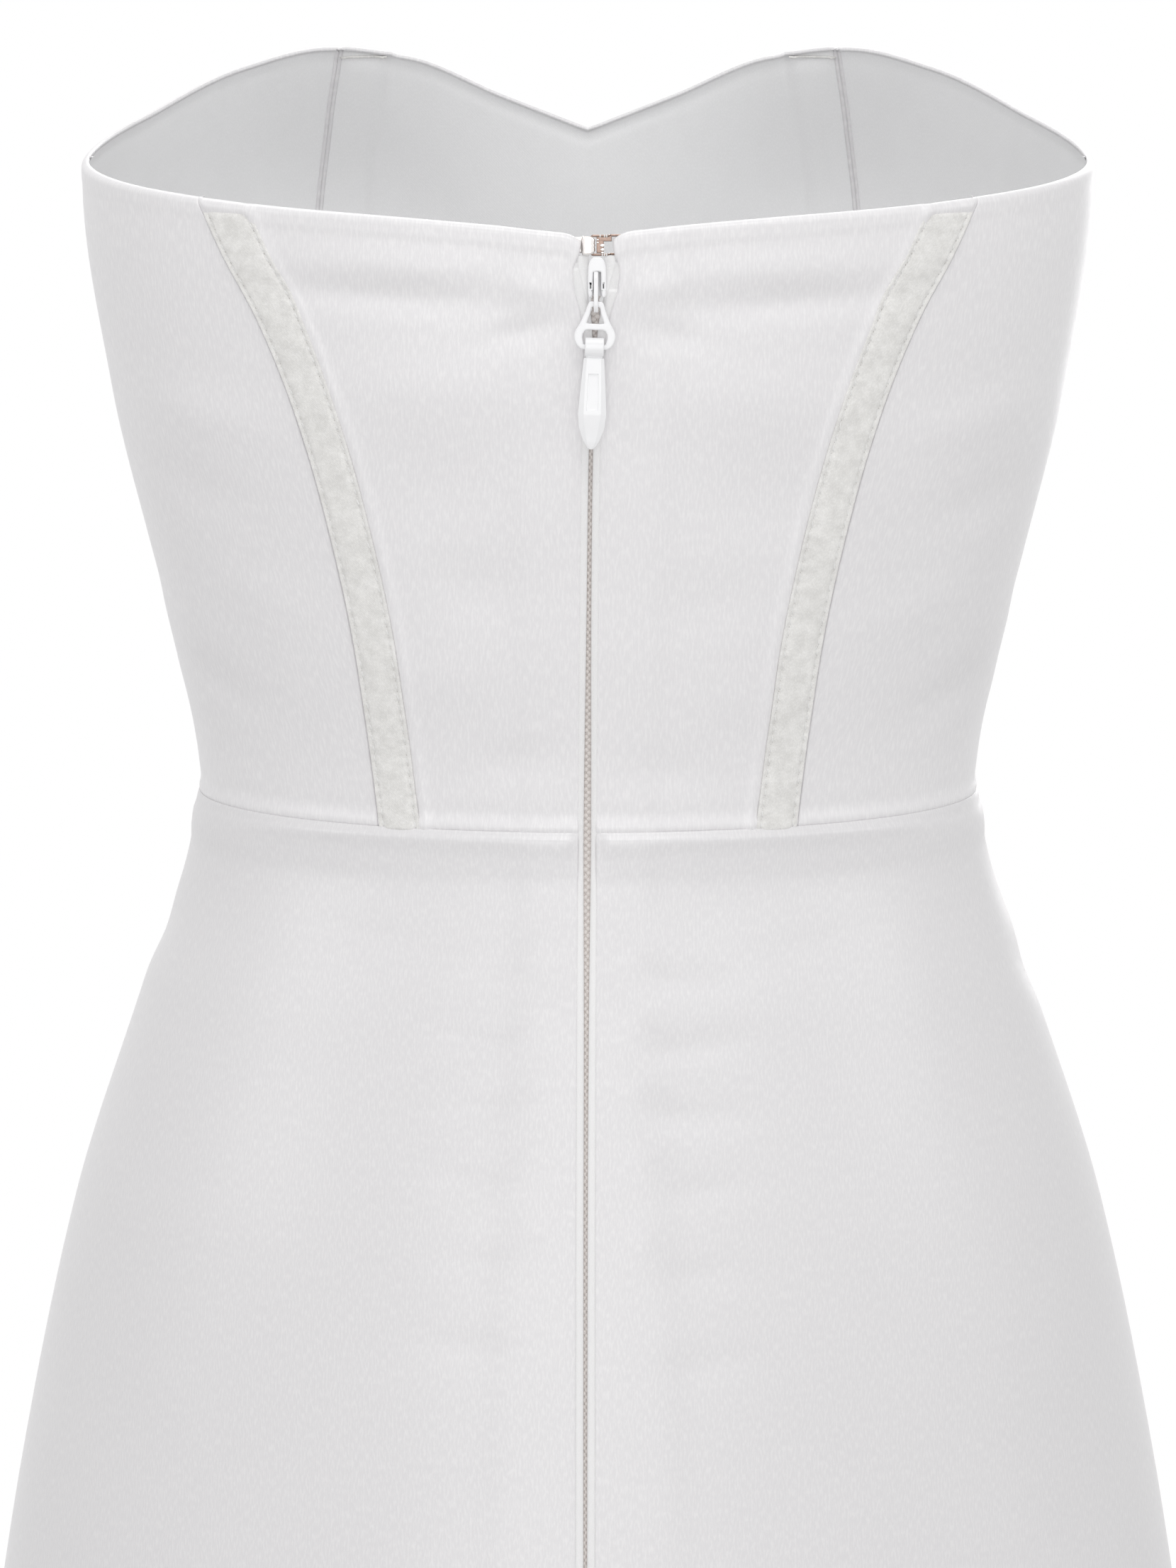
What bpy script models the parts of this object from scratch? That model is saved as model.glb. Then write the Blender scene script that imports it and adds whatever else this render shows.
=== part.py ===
"""Strapless satin corset gown, held open as if worn, with its back towards -Y.

Metres, +Z up. The origin is the middle of the waist, level with the waist seam. Sizes below are in
millimetres. Every cloth piece is a wall whose points lie on one form, the gown's outer surface: an angle
round the body, from the centre back towards +X, and a height give a point on it.
"""

import math

import bmesh
import bpy
from mathutils import Vector

MM = 0.001

# Cloth
WALL = 1.5
SEAM_GAP = 0.3
LIE_GAP = 0.3

# Level cuts through the gown: half its width, its depth behind and before the middle, and how much
# fuller than an ellipse its quarters are
SECTIONS = (
    # height, half_width, back_depth, front_depth, fullness
    (-1100, 336, 296, 270, 0.00),
    (-700, 262, 224, 204, 0.01),
    (-420, 208, 166, 150, 0.04),
    (-280, 182, 141, 124, 0.06),
    (-200, 169, 130, 112, 0.07),
    (-120, 152, 117, 103, 0.07),
    (-55, 131, 101, 94, 0.05),
    (0, 114, 87, 87, 0.03),
    (60, 125, 94, 94, 0.09),
    (120, 139, 101, 103, 0.15),
    (180, 147, 105, 107, 0.19),
    (240, 146, 104, 105, 0.19),
)

# Cups of the bodice
CUP_OUT = 84
CUP_HEIGHT = 152
CUP_DEPTH = 33
CUP_HALF_WIDTH = 52
CUP_ABOVE = 62
CUP_BELOW = 50

# Top edge of the bodice, by the angle from the centre back
NECKLINE = (
    # angle, height
    (0, 171.0),
    (5.5, 172.3),
    (10, 173.5),
    (18, 175.1),
    (24, 176.1),
    (36, 177.8),
    (46, 179.4),
    (70, 183.0),
    (92, 187.0),
    (114, 195.0),
    (134, 208.5),
    (147, 214.0),
    (158, 211.0),
    (170, 199.0),
    (180, 189.0),
)

# Seams of the bodice, by their distance out from the centre line
BACK_SEAM = (
    # height, out
    (0, 59.5),
    (28, 62.8),
    (57, 67.0),
    (95, 75.3),
    (120, 82.5),
    (145, 92.5),
    (164, 102.7),
    (190, 114.5),
)
FRONT_SEAM = (
    # height, out
    (0, 60.0),
    (60, 68.0),
    (110, 78.0),
    (152, 84.0),
    (190, 80.0),
    (225, 74.0),
)
SIDE_SEAM_ANGLE = 90

# Boning casings
CASING_WIDTH = (
    # height, width
    (0, 12.6),
    (100, 12.6),
    (130, 12.9),
    (150, 13.6),
    (172, 14.4),
    (240, 14.6),
)
CASING_WALL = 1.0
CASING_FROM_SEAM = 0.4
CASING_SHORT_OF_EDGE = 1.2
CASING_LIFT = 0.45

# Soft flutes of the skirt: each is a ridge that starts below the hip and deepens towards the hem
FLUTES = (
    # angle, half_angle, depth, start
    (-164, 15, 26, 330),
    (-136, 13, 19, 420),
    (-109, 15, 30, 300),
    (-78, 16, 24, 360),
    (-47, 15, 31, 330),
    (-17, 14, 22, 440),
    (12, 14, 27, 380),
    (41, 15, 23, 420),
    (71, 16, 32, 300),
    (103, 15, 21, 400),
    (133, 15, 28, 340),
    (160, 12, 18, 460),
    (180, 9, 12, 520),
)
HEM = -1100

# Heights of the points along the zip, shared by the tapes and the edges beside them
BACK_LEVELS = (20, 42, 64, 86, 106, 120, 130, 139, 145, 150, 156, 162, 167)
HIP_LEVELS = (-20, -42, -70, -105, -150, -200)
LOWER_LEVELS = (-242, -320, -410, -510, -620, -740, -860, -980)

# The zip: its line wanders a little, and the back opens round the slider
ZIP_LINE = (
    # height, across
    (-240, -0.8),
    (-120, -0.7),
    (0, -0.2),
    (70, 0.3),
    (110, 0.8),
    (150, 2.1),
    (175, 2.6),
)
BACK_OPENING = (
    # height, half_width
    (-236, 2.4),
    (130, 2.4),
    (144, 3.1),
    (150, 4.4),
    (156, 6.4),
    (161, 7.2),
    (167, 5.2),
    (172, 4.6),
    (180, 4.6),
)
ZIP_GAP = (
    # height, half_width
    (-234, 0.6),
    (139, 0.6),
    (145, 1.0),
    (150, 2.6),
    (156, 4.4),
    (163, 5.0),
)
ZIP_END = -236
TAPE_TOP = 162
TAPE_BOTTOM = -233
TAPE_REACH = 11.0
TAPE_WALL = 0.8
TAPE_PROUD = 0.4
COIL_HALF_WIDTH = 1.9
COIL_WALL = 1.4
COIL_TOP = 154.6

# Slider and its bail
SLIDER_HEIGHT = 159.3
SLIDER_HALF_WIDTH = 2.8
SLIDER_HALF_LENGTH = 5.6
SLOT_HALF_WIDTH = 1.05
SLIDER_BACK = -2.6
SLIDER_FLOOR = -0.7
SLIDER_FRONT = 1.6
BAIL_HALF_WIDTH = 0.65
BAIL_OUTER = 2.3
BAIL_HOLE = 1.35
BAIL_REACH = 4.7

# Ring and pull hang plumb from the bail, leaning a little to the left
HINGE_ACROSS = 2.2
HINGE_HEIGHT = 152.0
HINGE_PROUD = 2.4
LEAN = 2.0
RING_DROP = 11.85
RING_WALL = 1.3
RING_OUTLINE = (
    # out, up
    (0.0, 0.8),
    (1.5, 0.75),
    (2.15, 0.1),
    (2.9, -2.2),
    (4.2, -5.2),
    (5.4, -7.4),
    (5.75, -8.9),
    (5.3, -10.8),
    (4.2, -12.1),
    (2.9, -12.55),
    (0.0, -12.55),
)
RING_EYE = (
    # out, up
    (0.0, -0.75),
    (1.05, -0.8),
    (1.5, -2.6),
    (2.3, -4.7),
    (2.1, -5.3),
    (0.0, -5.35),
)
RING_SLOT = (
    # out, up
    (0.0, -7.1),
    (2.4, -7.15),
    (3.3, -8.2),
    (3.45, -9.4),
    (3.1, -10.7),
    (2.7, -11.15),
    (0.0, -11.15),
)
LOOP_HALF_HEIGHT = 2.6
LOOP_HALF_DEPTH = 1.9
LOOP_HOLE = 1.3
LOOP_HALF_LENGTH = 2.6
PULL = (
    # down, half_width, thickness
    (1.75, 2.2, 1.6),
    (3.1, 2.3, 1.6),
    (3.25, 2.87, 2.0),
    (9.0, 3.3, 2.3),
    (18.6, 3.93, 2.5),
    (22.5, 3.55, 2.2),
    (25.7, 2.45, 1.7),
    (27.6, 1.35, 1.2),
    (28.45, 0.4, 0.6),
)

# Hook and eye above the slider
HOOK_HEIGHT = 168.2
HOOK_WALL = 0.5
HOOK_PATH = (
    # across, proud, half_height
    (-7.0, -2.15, 2.1),
    (-4.4, -2.15, 2.3),
    (-3.5, 0.35, 2.6),
    (-1.9, 0.75, 2.6),
    (-1.0, 0.55, 2.2),
    (-0.55, -0.3, 1.85),
    (-1.0, -1.15, 1.85),
    (-2.3, -1.3, 1.85),
)
EYE_WIRE = 0.35
EYE_HALF_HEIGHT = 2.6
EYE_PATH = (
    # across, proud
    (-1.5, -0.3),
    (2.8, -0.3),
    (3.8, -2.3),
    (7.2, -2.3),
)

COLOURS = {
    "satin": ((0.84, 0.84, 0.85), 0.34, 0.0),
    "casing": ((0.78, 0.78, 0.76), 0.85, 0.0),
    "tape": ((0.86, 0.86, 0.86), 0.8, 0.0),
    "lacquer": ((0.93, 0.93, 0.94), 0.15, 0.0),
    "nickel": ((0.72, 0.68, 0.65), 0.18, 1.0),
}


def clear_scene():
    for obj in list(bpy.data.objects):
        bpy.data.objects.remove(obj, do_unlink=True)


def material(name):
    found = bpy.data.materials.get(name)
    if found:
        return found
    colour, roughness, metallic = COLOURS[name]
    made = bpy.data.materials.new(name)
    made.use_nodes = True
    shader = made.node_tree.nodes["Principled BSDF"]
    shader.inputs["Base Color"].default_value = (*colour, 1)
    shader.inputs["Roughness"].default_value = roughness
    shader.inputs["Metallic"].default_value = metallic
    return made


def new_object(name, mesh, finish):
    mesh.materials.append(material(finish))
    obj = bpy.data.objects.new(name, mesh)
    bpy.context.scene.collection.objects.link(obj)
    return obj


def smooth_between(rows, at, column=1):
    """The column's value at a place in the first column, on a curve that never overshoots the rows."""
    xs = [row[0] for row in rows]
    ys = [row[column] for row in rows]
    if at <= xs[0]:
        return ys[0]
    if at >= xs[-1]:
        return ys[-1]
    slopes = [(ys[i + 1] - ys[i]) / (xs[i + 1] - xs[i]) for i in range(len(xs) - 1)]

    def tangent(i):
        if i in (0, len(xs) - 1):
            return slopes[0 if i == 0 else -1]
        before, after = slopes[i - 1], slopes[i]
        return 0.0 if before * after <= 0 else 2 * before * after / (before + after)

    i = next(i for i in range(len(xs) - 1) if xs[i + 1] >= at)
    step = xs[i + 1] - xs[i]
    t = (at - xs[i]) / step
    return (
        (2 * t**3 - 3 * t**2 + 1) * ys[i]
        + (t**3 - 2 * t**2 + t) * step * tangent(i)
        + (3 * t**2 - 2 * t**3) * ys[i + 1]
        + (t**3 - t**2) * step * tangent(i + 1)
    )


def ease(t):
    t = min(max(t, 0.0), 1.0)
    return t * t * (3 - 2 * t)


def cup(across, height, forward):
    """How far a cup stands before the body there. It fades out towards the side seam."""
    rise = CUP_ABOVE if height > CUP_HEIGHT else CUP_BELOW
    out = (abs(across) - CUP_OUT) / CUP_HALF_WIDTH
    up = (height - CUP_HEIGHT) / rise
    return CUP_DEPTH * math.exp(-(out**2) - up**2) * ease(forward / 0.5)


def flute(angle, height):
    """How far the skirt's soft flutes stand out there."""
    out = 0.0
    for centre, half_angle, depth, start in FLUTES:
        away = abs((angle - centre + 180) % 360 - 180)
        if away < half_angle:
            deepen = ease((-height - start) / (-HEM - start))
            out += depth * deepen * math.cos(math.pi / 2 * away / half_angle) ** 2
    return out


def form(angle, height):
    """A point of the gown's outer surface, in mm."""
    turn = math.radians(angle)
    side, back = math.sin(turn), math.cos(turn)
    half_width = smooth_between(SECTIONS, height, 1)
    depth = smooth_between(SECTIONS, height, 2 if back > 0 else 3)
    fullness = smooth_between(SECTIONS, height, 4)
    across = half_width * side
    out = -depth * back * (1 + fullness * side**2)
    if back < 0 and height > 0:
        out += cup(across, height, -back)
    ripple = flute(angle, height)
    return Vector((across + ripple * side, out - ripple * back, height))


def outward(angle, height):
    """The unit normal of the gown's outer surface."""
    round_it = form(angle + 0.5, height) - form(angle - 0.5, height)
    up_it = form(angle, height + 1) - form(angle, height - 1)
    return round_it.cross(up_it).normalized()


def lifted(angle, height, proud):
    return form(angle, height) + outward(angle, height) * proud


def angle_at(across, height, front=False):
    """The angle at which the form is that far out from the centre line."""
    half_width = smooth_between(SECTIONS, height, 1)
    angle = math.degrees(math.asin(max(-1.0, min(1.0, across / half_width))))
    return math.copysign(180, across) - angle if front else angle


def angle_of_mm(angle, height, distance):
    """The change of angle that moves that far along the level cut."""
    one = (form(angle + 0.5, height) - form(angle - 0.5, height)).length
    return distance / one


def neckline(angle):
    return smooth_between(NECKLINE, abs((angle + 180) % 360 - 180))


def mesh_of(name, points, faces):
    """A closed mesh from points in mm, with its faces turned outwards."""
    shape = bmesh.new()
    verts = [shape.verts.new(Vector(point) * MM) for point in points]
    for face in faces:
        shape.faces.new([verts[i] for i in face])
    bmesh.ops.recalc_face_normals(shape, faces=shape.faces)
    mesh = bpy.data.meshes.new(name)
    shape.to_mesh(mesh)
    shape.free()
    mesh.shade_smooth()
    mesh.set_sharp_from_angle(angle=math.radians(50))
    return mesh


def wall(name, finish, grid, outer, inner):
    """A cloth wall through a grid of (angle, height) rows, between two distances from the form."""
    rows, columns = len(grid), len(grid[0])
    places = [place for row in grid for place in row]
    points = [lifted(*place, outer) for place in places]
    points += [lifted(*place, inner) for place in places]

    def at(row, column, layer):
        return layer * rows * columns + row * columns + column

    faces = []
    for row in range(rows - 1):
        for column in range(columns - 1):
            for layer in (0, 1):
                corners = (
                    at(row, column, layer),
                    at(row, column + 1, layer),
                    at(row + 1, column + 1, layer),
                    at(row + 1, column, layer),
                )
                faces.append(corners if layer == 0 else corners[::-1])
    for row in range(rows - 1):
        for column in (0, columns - 1):
            faces.append(
                (at(row, column, 0), at(row + 1, column, 0), at(row + 1, column, 1), at(row, column, 1))
            )
    for column in range(columns - 1):
        for row in (0, rows - 1):
            faces.append(
                (at(row, column, 0), at(row, column + 1, 0), at(row, column + 1, 1), at(row, column, 1))
            )
    return new_object(name, mesh_of(name, points, faces), finish)


def loft(name, finish, rings):
    """A closed solid through rings of points, all with the same number of points."""
    count = len(rings[0])
    points = [point for ring in rings for point in ring]
    faces = [tuple(range(count)), tuple(len(points) - count + i for i in range(count))]
    for ring in range(len(rings) - 1):
        for i in range(count):
            a, b = ring * count + i, ring * count + (i + 1) % count
            faces.append((a, b, b + count, a + count))
    return new_object(name, mesh_of(name, points, faces), finish)


def opening_half(height):
    return smooth_between(BACK_OPENING, height) if height >= ZIP_END else SEAM_GAP / 2


def back_edge(side):
    """The angle of the centre back edge of the panel on that side, by height."""

    def edge(height):
        line = smooth_between(ZIP_LINE, height)
        return angle_at(line + side * opening_half(height), height)

    return edge


def seam(rows, side, towards, front=False):
    """The angle of a panel's edge on a bodice seam, half a gap short of the seam itself."""

    def edge(height):
        angle = angle_at(side * smooth_between(rows, height), height, front)
        return angle + towards * angle_of_mm(angle, height, SEAM_GAP / 2)

    return edge


def side_seam(side, towards):
    def edge(height):
        angle = side * SIDE_SEAM_ANGLE
        return angle + towards * angle_of_mm(angle, height, SEAM_GAP / 2)

    return edge


def even_levels(rows):
    return [neckline(0) * row / rows for row in range(1, rows)]


def bodice_panel(name, first, last, columns, levels):
    """A panel from the waist seam to the neckline between two edges given by height.

    The levels are heights at the centre back, stretched to the neckline elsewhere.
    """
    foot = SEAM_GAP / 2
    grid = [[None] * (columns + 1) for _ in range(len(levels) + 2)]
    for column in range(columns + 1):
        share = column / columns
        top = neckline(first(175) * (1 - share) + last(175) * share)
        for _ in range(6):
            top = neckline(first(top) * (1 - share) + last(top) * share)
        stretch = top / neckline(0)
        heights = [foot, *(level * stretch for level in levels), top]
        for row, height in enumerate(heights):
            grid[row][column] = (first(height) * (1 - share) + last(height) * share, height)
    return wall(name, "satin", grid, 0, -WALL)


def make_bodice():
    for side, word in ((-1, "left"), (1, "right")):
        back_seam = seam(BACK_SEAM, side, -side)
        bodice_panel(f"back_{word}", back_edge(side), back_seam, 7, BACK_LEVELS)
        bodice_panel(
            f"side_back_{word}",
            seam(BACK_SEAM, side, side),
            side_seam(side, -side),
            7,
            even_levels(11),
        )
        bodice_panel(
            f"side_front_{word}",
            side_seam(side, side),
            seam(FRONT_SEAM, side, -side, front=True),
            9,
            even_levels(13),
        )

    def right_princess(height):
        return seam(FRONT_SEAM, 1, 1, front=True)(height)

    def left_princess(height):
        return 360 + seam(FRONT_SEAM, -1, -1, front=True)(height)

    bodice_panel("centre_front", right_princess, left_princess, 12, even_levels(13))


def casing(name, seam_angle, towards, levels):
    """A strip beside a seam, on the panel's outer face, from the waist seam to just under the top edge."""
    grid = []
    near = CASING_FROM_SEAM
    top = min(neckline(seam_angle(175) + towards * offset) for offset in (0, 6))
    stretch = (top - CASING_SHORT_OF_EDGE) / neckline(0)
    for level in (SEAM_GAP / 2, *levels, neckline(0)):
        height = level * stretch
        far = near + smooth_between(CASING_WIDTH, height)
        angle = seam_angle(height)
        slope = seam_angle(height + 1) - seam_angle(height - 1)
        drift = slope / 2 / angle_of_mm(angle, height, 1.0)
        widen = math.hypot(1, drift)
        grid.append(
            [
                (angle + towards * angle_of_mm(angle, height, out * widen), height)
                for out in (near, (near + far) / 2, far)
            ]
        )
    return wall(name, "casing", grid, CASING_LIFT + CASING_WALL, CASING_LIFT)


def make_casings():
    for side, word in ((-1, "left"), (1, "right")):
        casing(f"casing_back_{word}", seam(BACK_SEAM, side, 0), -side, BACK_LEVELS)
        princess = seam(FRONT_SEAM, side, 0, front=True)
        casing(f"casing_front_{word}", princess, side, even_levels(13))


def skirt_panel(name, first, last, columns):
    """A panel from the waist seam to the hem between two edges given by height."""
    levels = (-SEAM_GAP / 2, *HIP_LEVELS, ZIP_END, *LOWER_LEVELS, HEM)
    grid = []
    for height in levels:
        start, end = first(height), last(height)
        grid.append(
            [(start + (end - start) * column / columns, height) for column in range(columns + 1)]
        )
    return wall(name, "satin", grid, 0, -WALL)


def make_skirt():
    skirt_panel("skirt_back_left", side_seam(-1, 1), back_edge(-1), 18)
    skirt_panel("skirt_back_right", back_edge(1), side_seam(1, -1), 18)

    def right_side(height):
        return side_seam(1, 1)(height)

    def left_side(height):
        return 360 + side_seam(-1, -1)(height)

    skirt_panel("skirt_front", right_side, left_side, 36)


def zip_point(across, height, proud):
    """A point beside the zip line: across it, and out from the gown's surface."""
    angle = angle_at(smooth_between(ZIP_LINE, height) + across, height)
    return lifted(angle, height, proud)


def zip_levels(top):
    """Heights along the zip from its bottom end to that top."""
    between = sorted((*HIP_LEVELS, -SEAM_GAP / 2, SEAM_GAP / 2, *BACK_LEVELS))
    return [TAPE_BOTTOM, *(height for height in between if height < top - 1), top]


def tape(name, side):
    """The woven tape: a flat wing inside the back and a rolled edge that stands up beside the gap."""
    floor = -WALL - LIE_GAP - TAPE_WALL
    rings = []
    for height in zip_levels(TAPE_TOP):
        gap = smooth_between(ZIP_GAP, height)
        edge = opening_half(height) - SEAM_GAP
        section = (
            (gap, floor),
            (TAPE_REACH, floor),
            (TAPE_REACH, floor + TAPE_WALL),
            (edge, floor + TAPE_WALL),
            (edge, TAPE_PROUD),
            (gap, TAPE_PROUD),
        )
        rings.append([zip_point(side * out, height, proud) for out, proud in section])
    return loft(name, "tape", rings)


def coil():
    """The closed chain, as a plain strip behind the gap between the tapes."""
    top = -WALL - LIE_GAP - TAPE_WALL - LIE_GAP
    rings = []
    for height in zip_levels(COIL_TOP):
        section = (
            (-COIL_HALF_WIDTH, top),
            (-COIL_HALF_WIDTH, top - COIL_WALL),
            (COIL_HALF_WIDTH, top - COIL_WALL),
            (COIL_HALF_WIDTH, top),
        )
        rings.append([zip_point(out, height, proud) for out, proud in section])
    return loft("zip_coil", "tape", rings)


def hinge_at():
    """The axis on which the ring hangs: the middle of the bail's hole."""
    depth = smooth_between(SECTIONS, SLIDER_HEIGHT, 2)
    return Vector((HINGE_ACROSS, -depth - HINGE_PROUD, HINGE_HEIGHT))


def slab(name, finish, outline, low, high, axis="Y"):
    """An outline of (a, b) points extruded from low to high, along -Y for (x, z) or X for (y, z)."""
    if axis == "Y":
        rings = [[(a, -proud, b) for a, b in outline] for proud in (low, high)]
    else:
        rings = [[(place, -a, b) for a, b in outline] for place in (low, high)]
    return loft(name, finish, rings)


def arc(centre, radius, start, end, steps, squash=1.0):
    """Points along an arc, in degrees, where squash narrows it in its first direction."""
    points = []
    for i in range(steps + 1):
        turn = math.radians(start + (end - start) * i / steps)
        points.append(
            (centre[0] + squash * radius * math.cos(turn), centre[1] + radius * math.sin(turn))
        )
    return points


def mirrored(half):
    """A closed outline from its right half, which starts and ends on the centre line."""
    return list(half) + [(-a, b) for a, b in reversed(half[1:-1])]


def as_cutter(obj):
    obj.hide_render = True
    obj.display_type = "WIRE"
    return obj


def boolean(obj, other, operation):
    step = obj.modifiers.new(operation.title(), "BOOLEAN")
    step.operation = operation
    step.object = as_cutter(other)


def make_slider():
    """A flat fork over a closed floor, with the upright bail standing out of its slot."""
    width, length, slot = SLIDER_HALF_WIDTH, SLIDER_HALF_LENGTH, SLOT_HALF_WIDTH
    half = (
        (0.0, length),
        (1.3, length - 0.3),
        (width - 0.4, length - 1.5),
        (width, length - 3.0),
        (width - 0.1, -length + 1.2),
        (width - 0.6, -length + 0.1),
        (width - 1.2, -length),
        (slot + 0.1, -length + 0.9),
        (slot, length - 4.2),
        (slot * 0.6, length - 3.5),
        (0.0, length - 3.3),
    )
    shrink = 0.97
    floor_half = [(a * shrink, b * shrink) for a, b in (*half[:7], (0.0, -length))]
    depth = smooth_between(SECTIONS, SLIDER_HEIGHT, 2)
    place = Vector((HINGE_ACROSS, -depth, SLIDER_HEIGHT)) * MM

    slider = slab("zip_slider", "lacquer", mirrored(half), SLIDER_FLOOR - 0.2, SLIDER_FRONT)
    under = slab("slider_floor", "lacquer", mirrored(floor_half), SLIDER_BACK, SLIDER_FLOOR)
    hinge = (HINGE_PROUD, HINGE_HEIGHT - SLIDER_HEIGHT)
    side = (
        [(-1.6, 1.9), (-1.6, hinge[1] + BAIL_OUTER + 1.4)]
        + arc(hinge, BAIL_OUTER, 170, 360, 10)
        + [(BAIL_REACH, -3.0), (BAIL_REACH - 0.4, 0.6), (BAIL_REACH - 1.9, 1.9)]
    )
    bail = slab("bail", "lacquer", side, -BAIL_HALF_WIDTH, BAIL_HALF_WIDTH, axis="X")
    hole = slab(
        "bail_hole", "lacquer", arc(hinge, BAIL_HOLE, 0, 330, 11), -4.0, 4.0, axis="X"
    )
    for obj in (slider, under, bail, hole):
        obj.location = place
    boolean(slider, under, "UNION")
    boolean(slider, bail, "UNION")
    boolean(slider, hole, "DIFFERENCE")


def make_ring(anchor):
    """The flat triangular link: its top bar lies in the bail and its lower bar in the pull's loop."""
    outline = bpy.data.curves.new("zip_ring", "CURVE")
    outline.dimensions = "2D"
    outline.fill_mode = "BOTH"
    edge = 0.25
    outline.extrude = (RING_WALL / 2 - edge) * MM
    outline.bevel_depth = edge * MM
    outline.bevel_resolution = 1
    outline.offset = -edge * MM
    for half in (RING_OUTLINE, RING_EYE, RING_SLOT):
        points = mirrored(half)
        spline = outline.splines.new("POLY")
        spline.points.add(len(points) - 1)
        for point, (out, up) in zip(spline.points, points):
            point.co = (out * MM, up * MM, 0, 1)
        spline.use_cyclic_u = True
    outline.materials.append(material("lacquer"))
    ring = bpy.data.objects.new("zip_ring", outline)
    bpy.context.scene.collection.objects.link(ring)
    ring.parent = anchor
    ring.rotation_euler = (math.radians(90), 0, 0)


def make_pull(anchor):
    """The drop: a loop round the ring's lower bar, and a long flat body that swells and ends in a tip."""
    rings = []
    for down, half_width, thickness in PULL:
        side, face = thickness / 2, min(0.45, half_width / 3)
        section = (
            (half_width, side * 0.35),
            (half_width - face * 2, side),
            (-half_width + face * 2, side),
            (-half_width, side * 0.35),
            (-half_width, -side * 0.5),
            (-half_width + face, -side),
            (half_width - face, -side),
            (half_width, -side * 0.5),
        )
        rings.append([(a, -b, -down) for a, b in section])
    pull = loft("zip_pull", "lacquer", rings)
    squash = LOOP_HALF_DEPTH / LOOP_HALF_HEIGHT
    loop = slab(
        "pull_loop",
        "lacquer",
        arc((0, 0), LOOP_HALF_HEIGHT, 0, 345, 23, squash),
        -LOOP_HALF_LENGTH,
        LOOP_HALF_LENGTH,
        axis="X",
    )
    hole = slab(
        "loop_hole",
        "lacquer",
        arc((0, 0), LOOP_HOLE, 0, 337.5, 15),
        -LOOP_HALF_LENGTH - 1,
        LOOP_HALF_LENGTH + 1,
        axis="X",
    )
    for obj in (pull, loop, hole):
        obj.parent = anchor
        obj.location = (0, 0, -RING_DROP * MM)
    boolean(pull, loop, "UNION")
    boolean(pull, hole, "DIFFERENCE")


def make_hanging_chain():
    anchor = bpy.data.objects.new("ring_hinge", None)
    bpy.context.scene.collection.objects.link(anchor)
    anchor.location = hinge_at() * MM
    anchor.rotation_euler = (0, math.radians(LEAN), 0)
    make_ring(anchor)
    make_pull(anchor)


def make_hook():
    """A flat hook, curled back round the eye's bar."""
    rings = []
    for i, (across, proud, half) in enumerate(HOOK_PATH):
        before = Vector(HOOK_PATH[max(i - 1, 0)][:2])
        after = Vector(HOOK_PATH[min(i + 1, len(HOOK_PATH) - 1)][:2])
        along = (after - before).normalized()
        normal = Vector((-along.y, along.x)) * HOOK_WALL / 2
        ring = []
        for turn, up in ((1, half), (1, -half), (-1, -half), (-1, half)):
            point = zip_point(across + turn * normal.x, HOOK_HEIGHT, proud + turn * normal.y)
            ring.append(point + Vector((0, 0, up)))
        rings.append(ring)
    loft("hook", "nickel", rings)


def make_eye():
    """A loop of round wire whose upright bar lies in the hook."""
    upper = [(across, proud, EYE_HALF_HEIGHT) for across, proud in reversed(EYE_PATH)]
    lower = [(across, proud, -EYE_HALF_HEIGHT) for across, proud in EYE_PATH]
    upper[-1] = (upper[-1][0] + 0.5, upper[-1][1], EYE_HALF_HEIGHT)
    lower[0] = (lower[0][0] + 0.5, lower[0][1], -EYE_HALF_HEIGHT)
    bar = [(EYE_PATH[0][0], EYE_PATH[0][1], up) for up in (EYE_HALF_HEIGHT - 0.5, -EYE_HALF_HEIGHT + 0.5)]
    wire = bpy.data.curves.new("eye", "CURVE")
    wire.dimensions = "3D"
    wire.bevel_depth = EYE_WIRE * MM
    wire.bevel_resolution = 2
    wire.use_fill_caps = True
    path = upper + bar + lower
    spline = wire.splines.new("POLY")
    spline.points.add(len(path) - 1)
    for point, (across, proud, up) in zip(spline.points, path):
        place = zip_point(across, HOOK_HEIGHT, proud) + Vector((0, 0, up))
        point.co = (*(place * MM), 1)
    wire.materials.append(material("nickel"))
    eye = bpy.data.objects.new("eye", wire)
    bpy.context.scene.collection.objects.link(eye)


def main():
    clear_scene()
    make_bodice()
    make_casings()
    make_skirt()
    tape("zip_tape_left", -1)
    tape("zip_tape_right", 1)
    coil()
    make_slider()
    make_hanging_chain()
    make_hook()
    make_eye()


main()
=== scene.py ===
# %% [markdown]
# # A strapless satin corset gown, seen from behind
# The photograph is a close-up of the back: satin panels, two boning casings with their stitching, an
# invisible zip with a hanging ring and pull, a hook and eye, and the seam that joins bodice and skirt.
# This lesson dresses the imported solids of the whole gown. The solids stay where they are. Each piece
# of the gown made here rides on one of their bodies, and most stand for one of them, which is hidden.

# %% Load the imported model as the fixed frame
import math

import bmesh
import bpy
import numpy as np
from mathutils import Matrix, Vector


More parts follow.
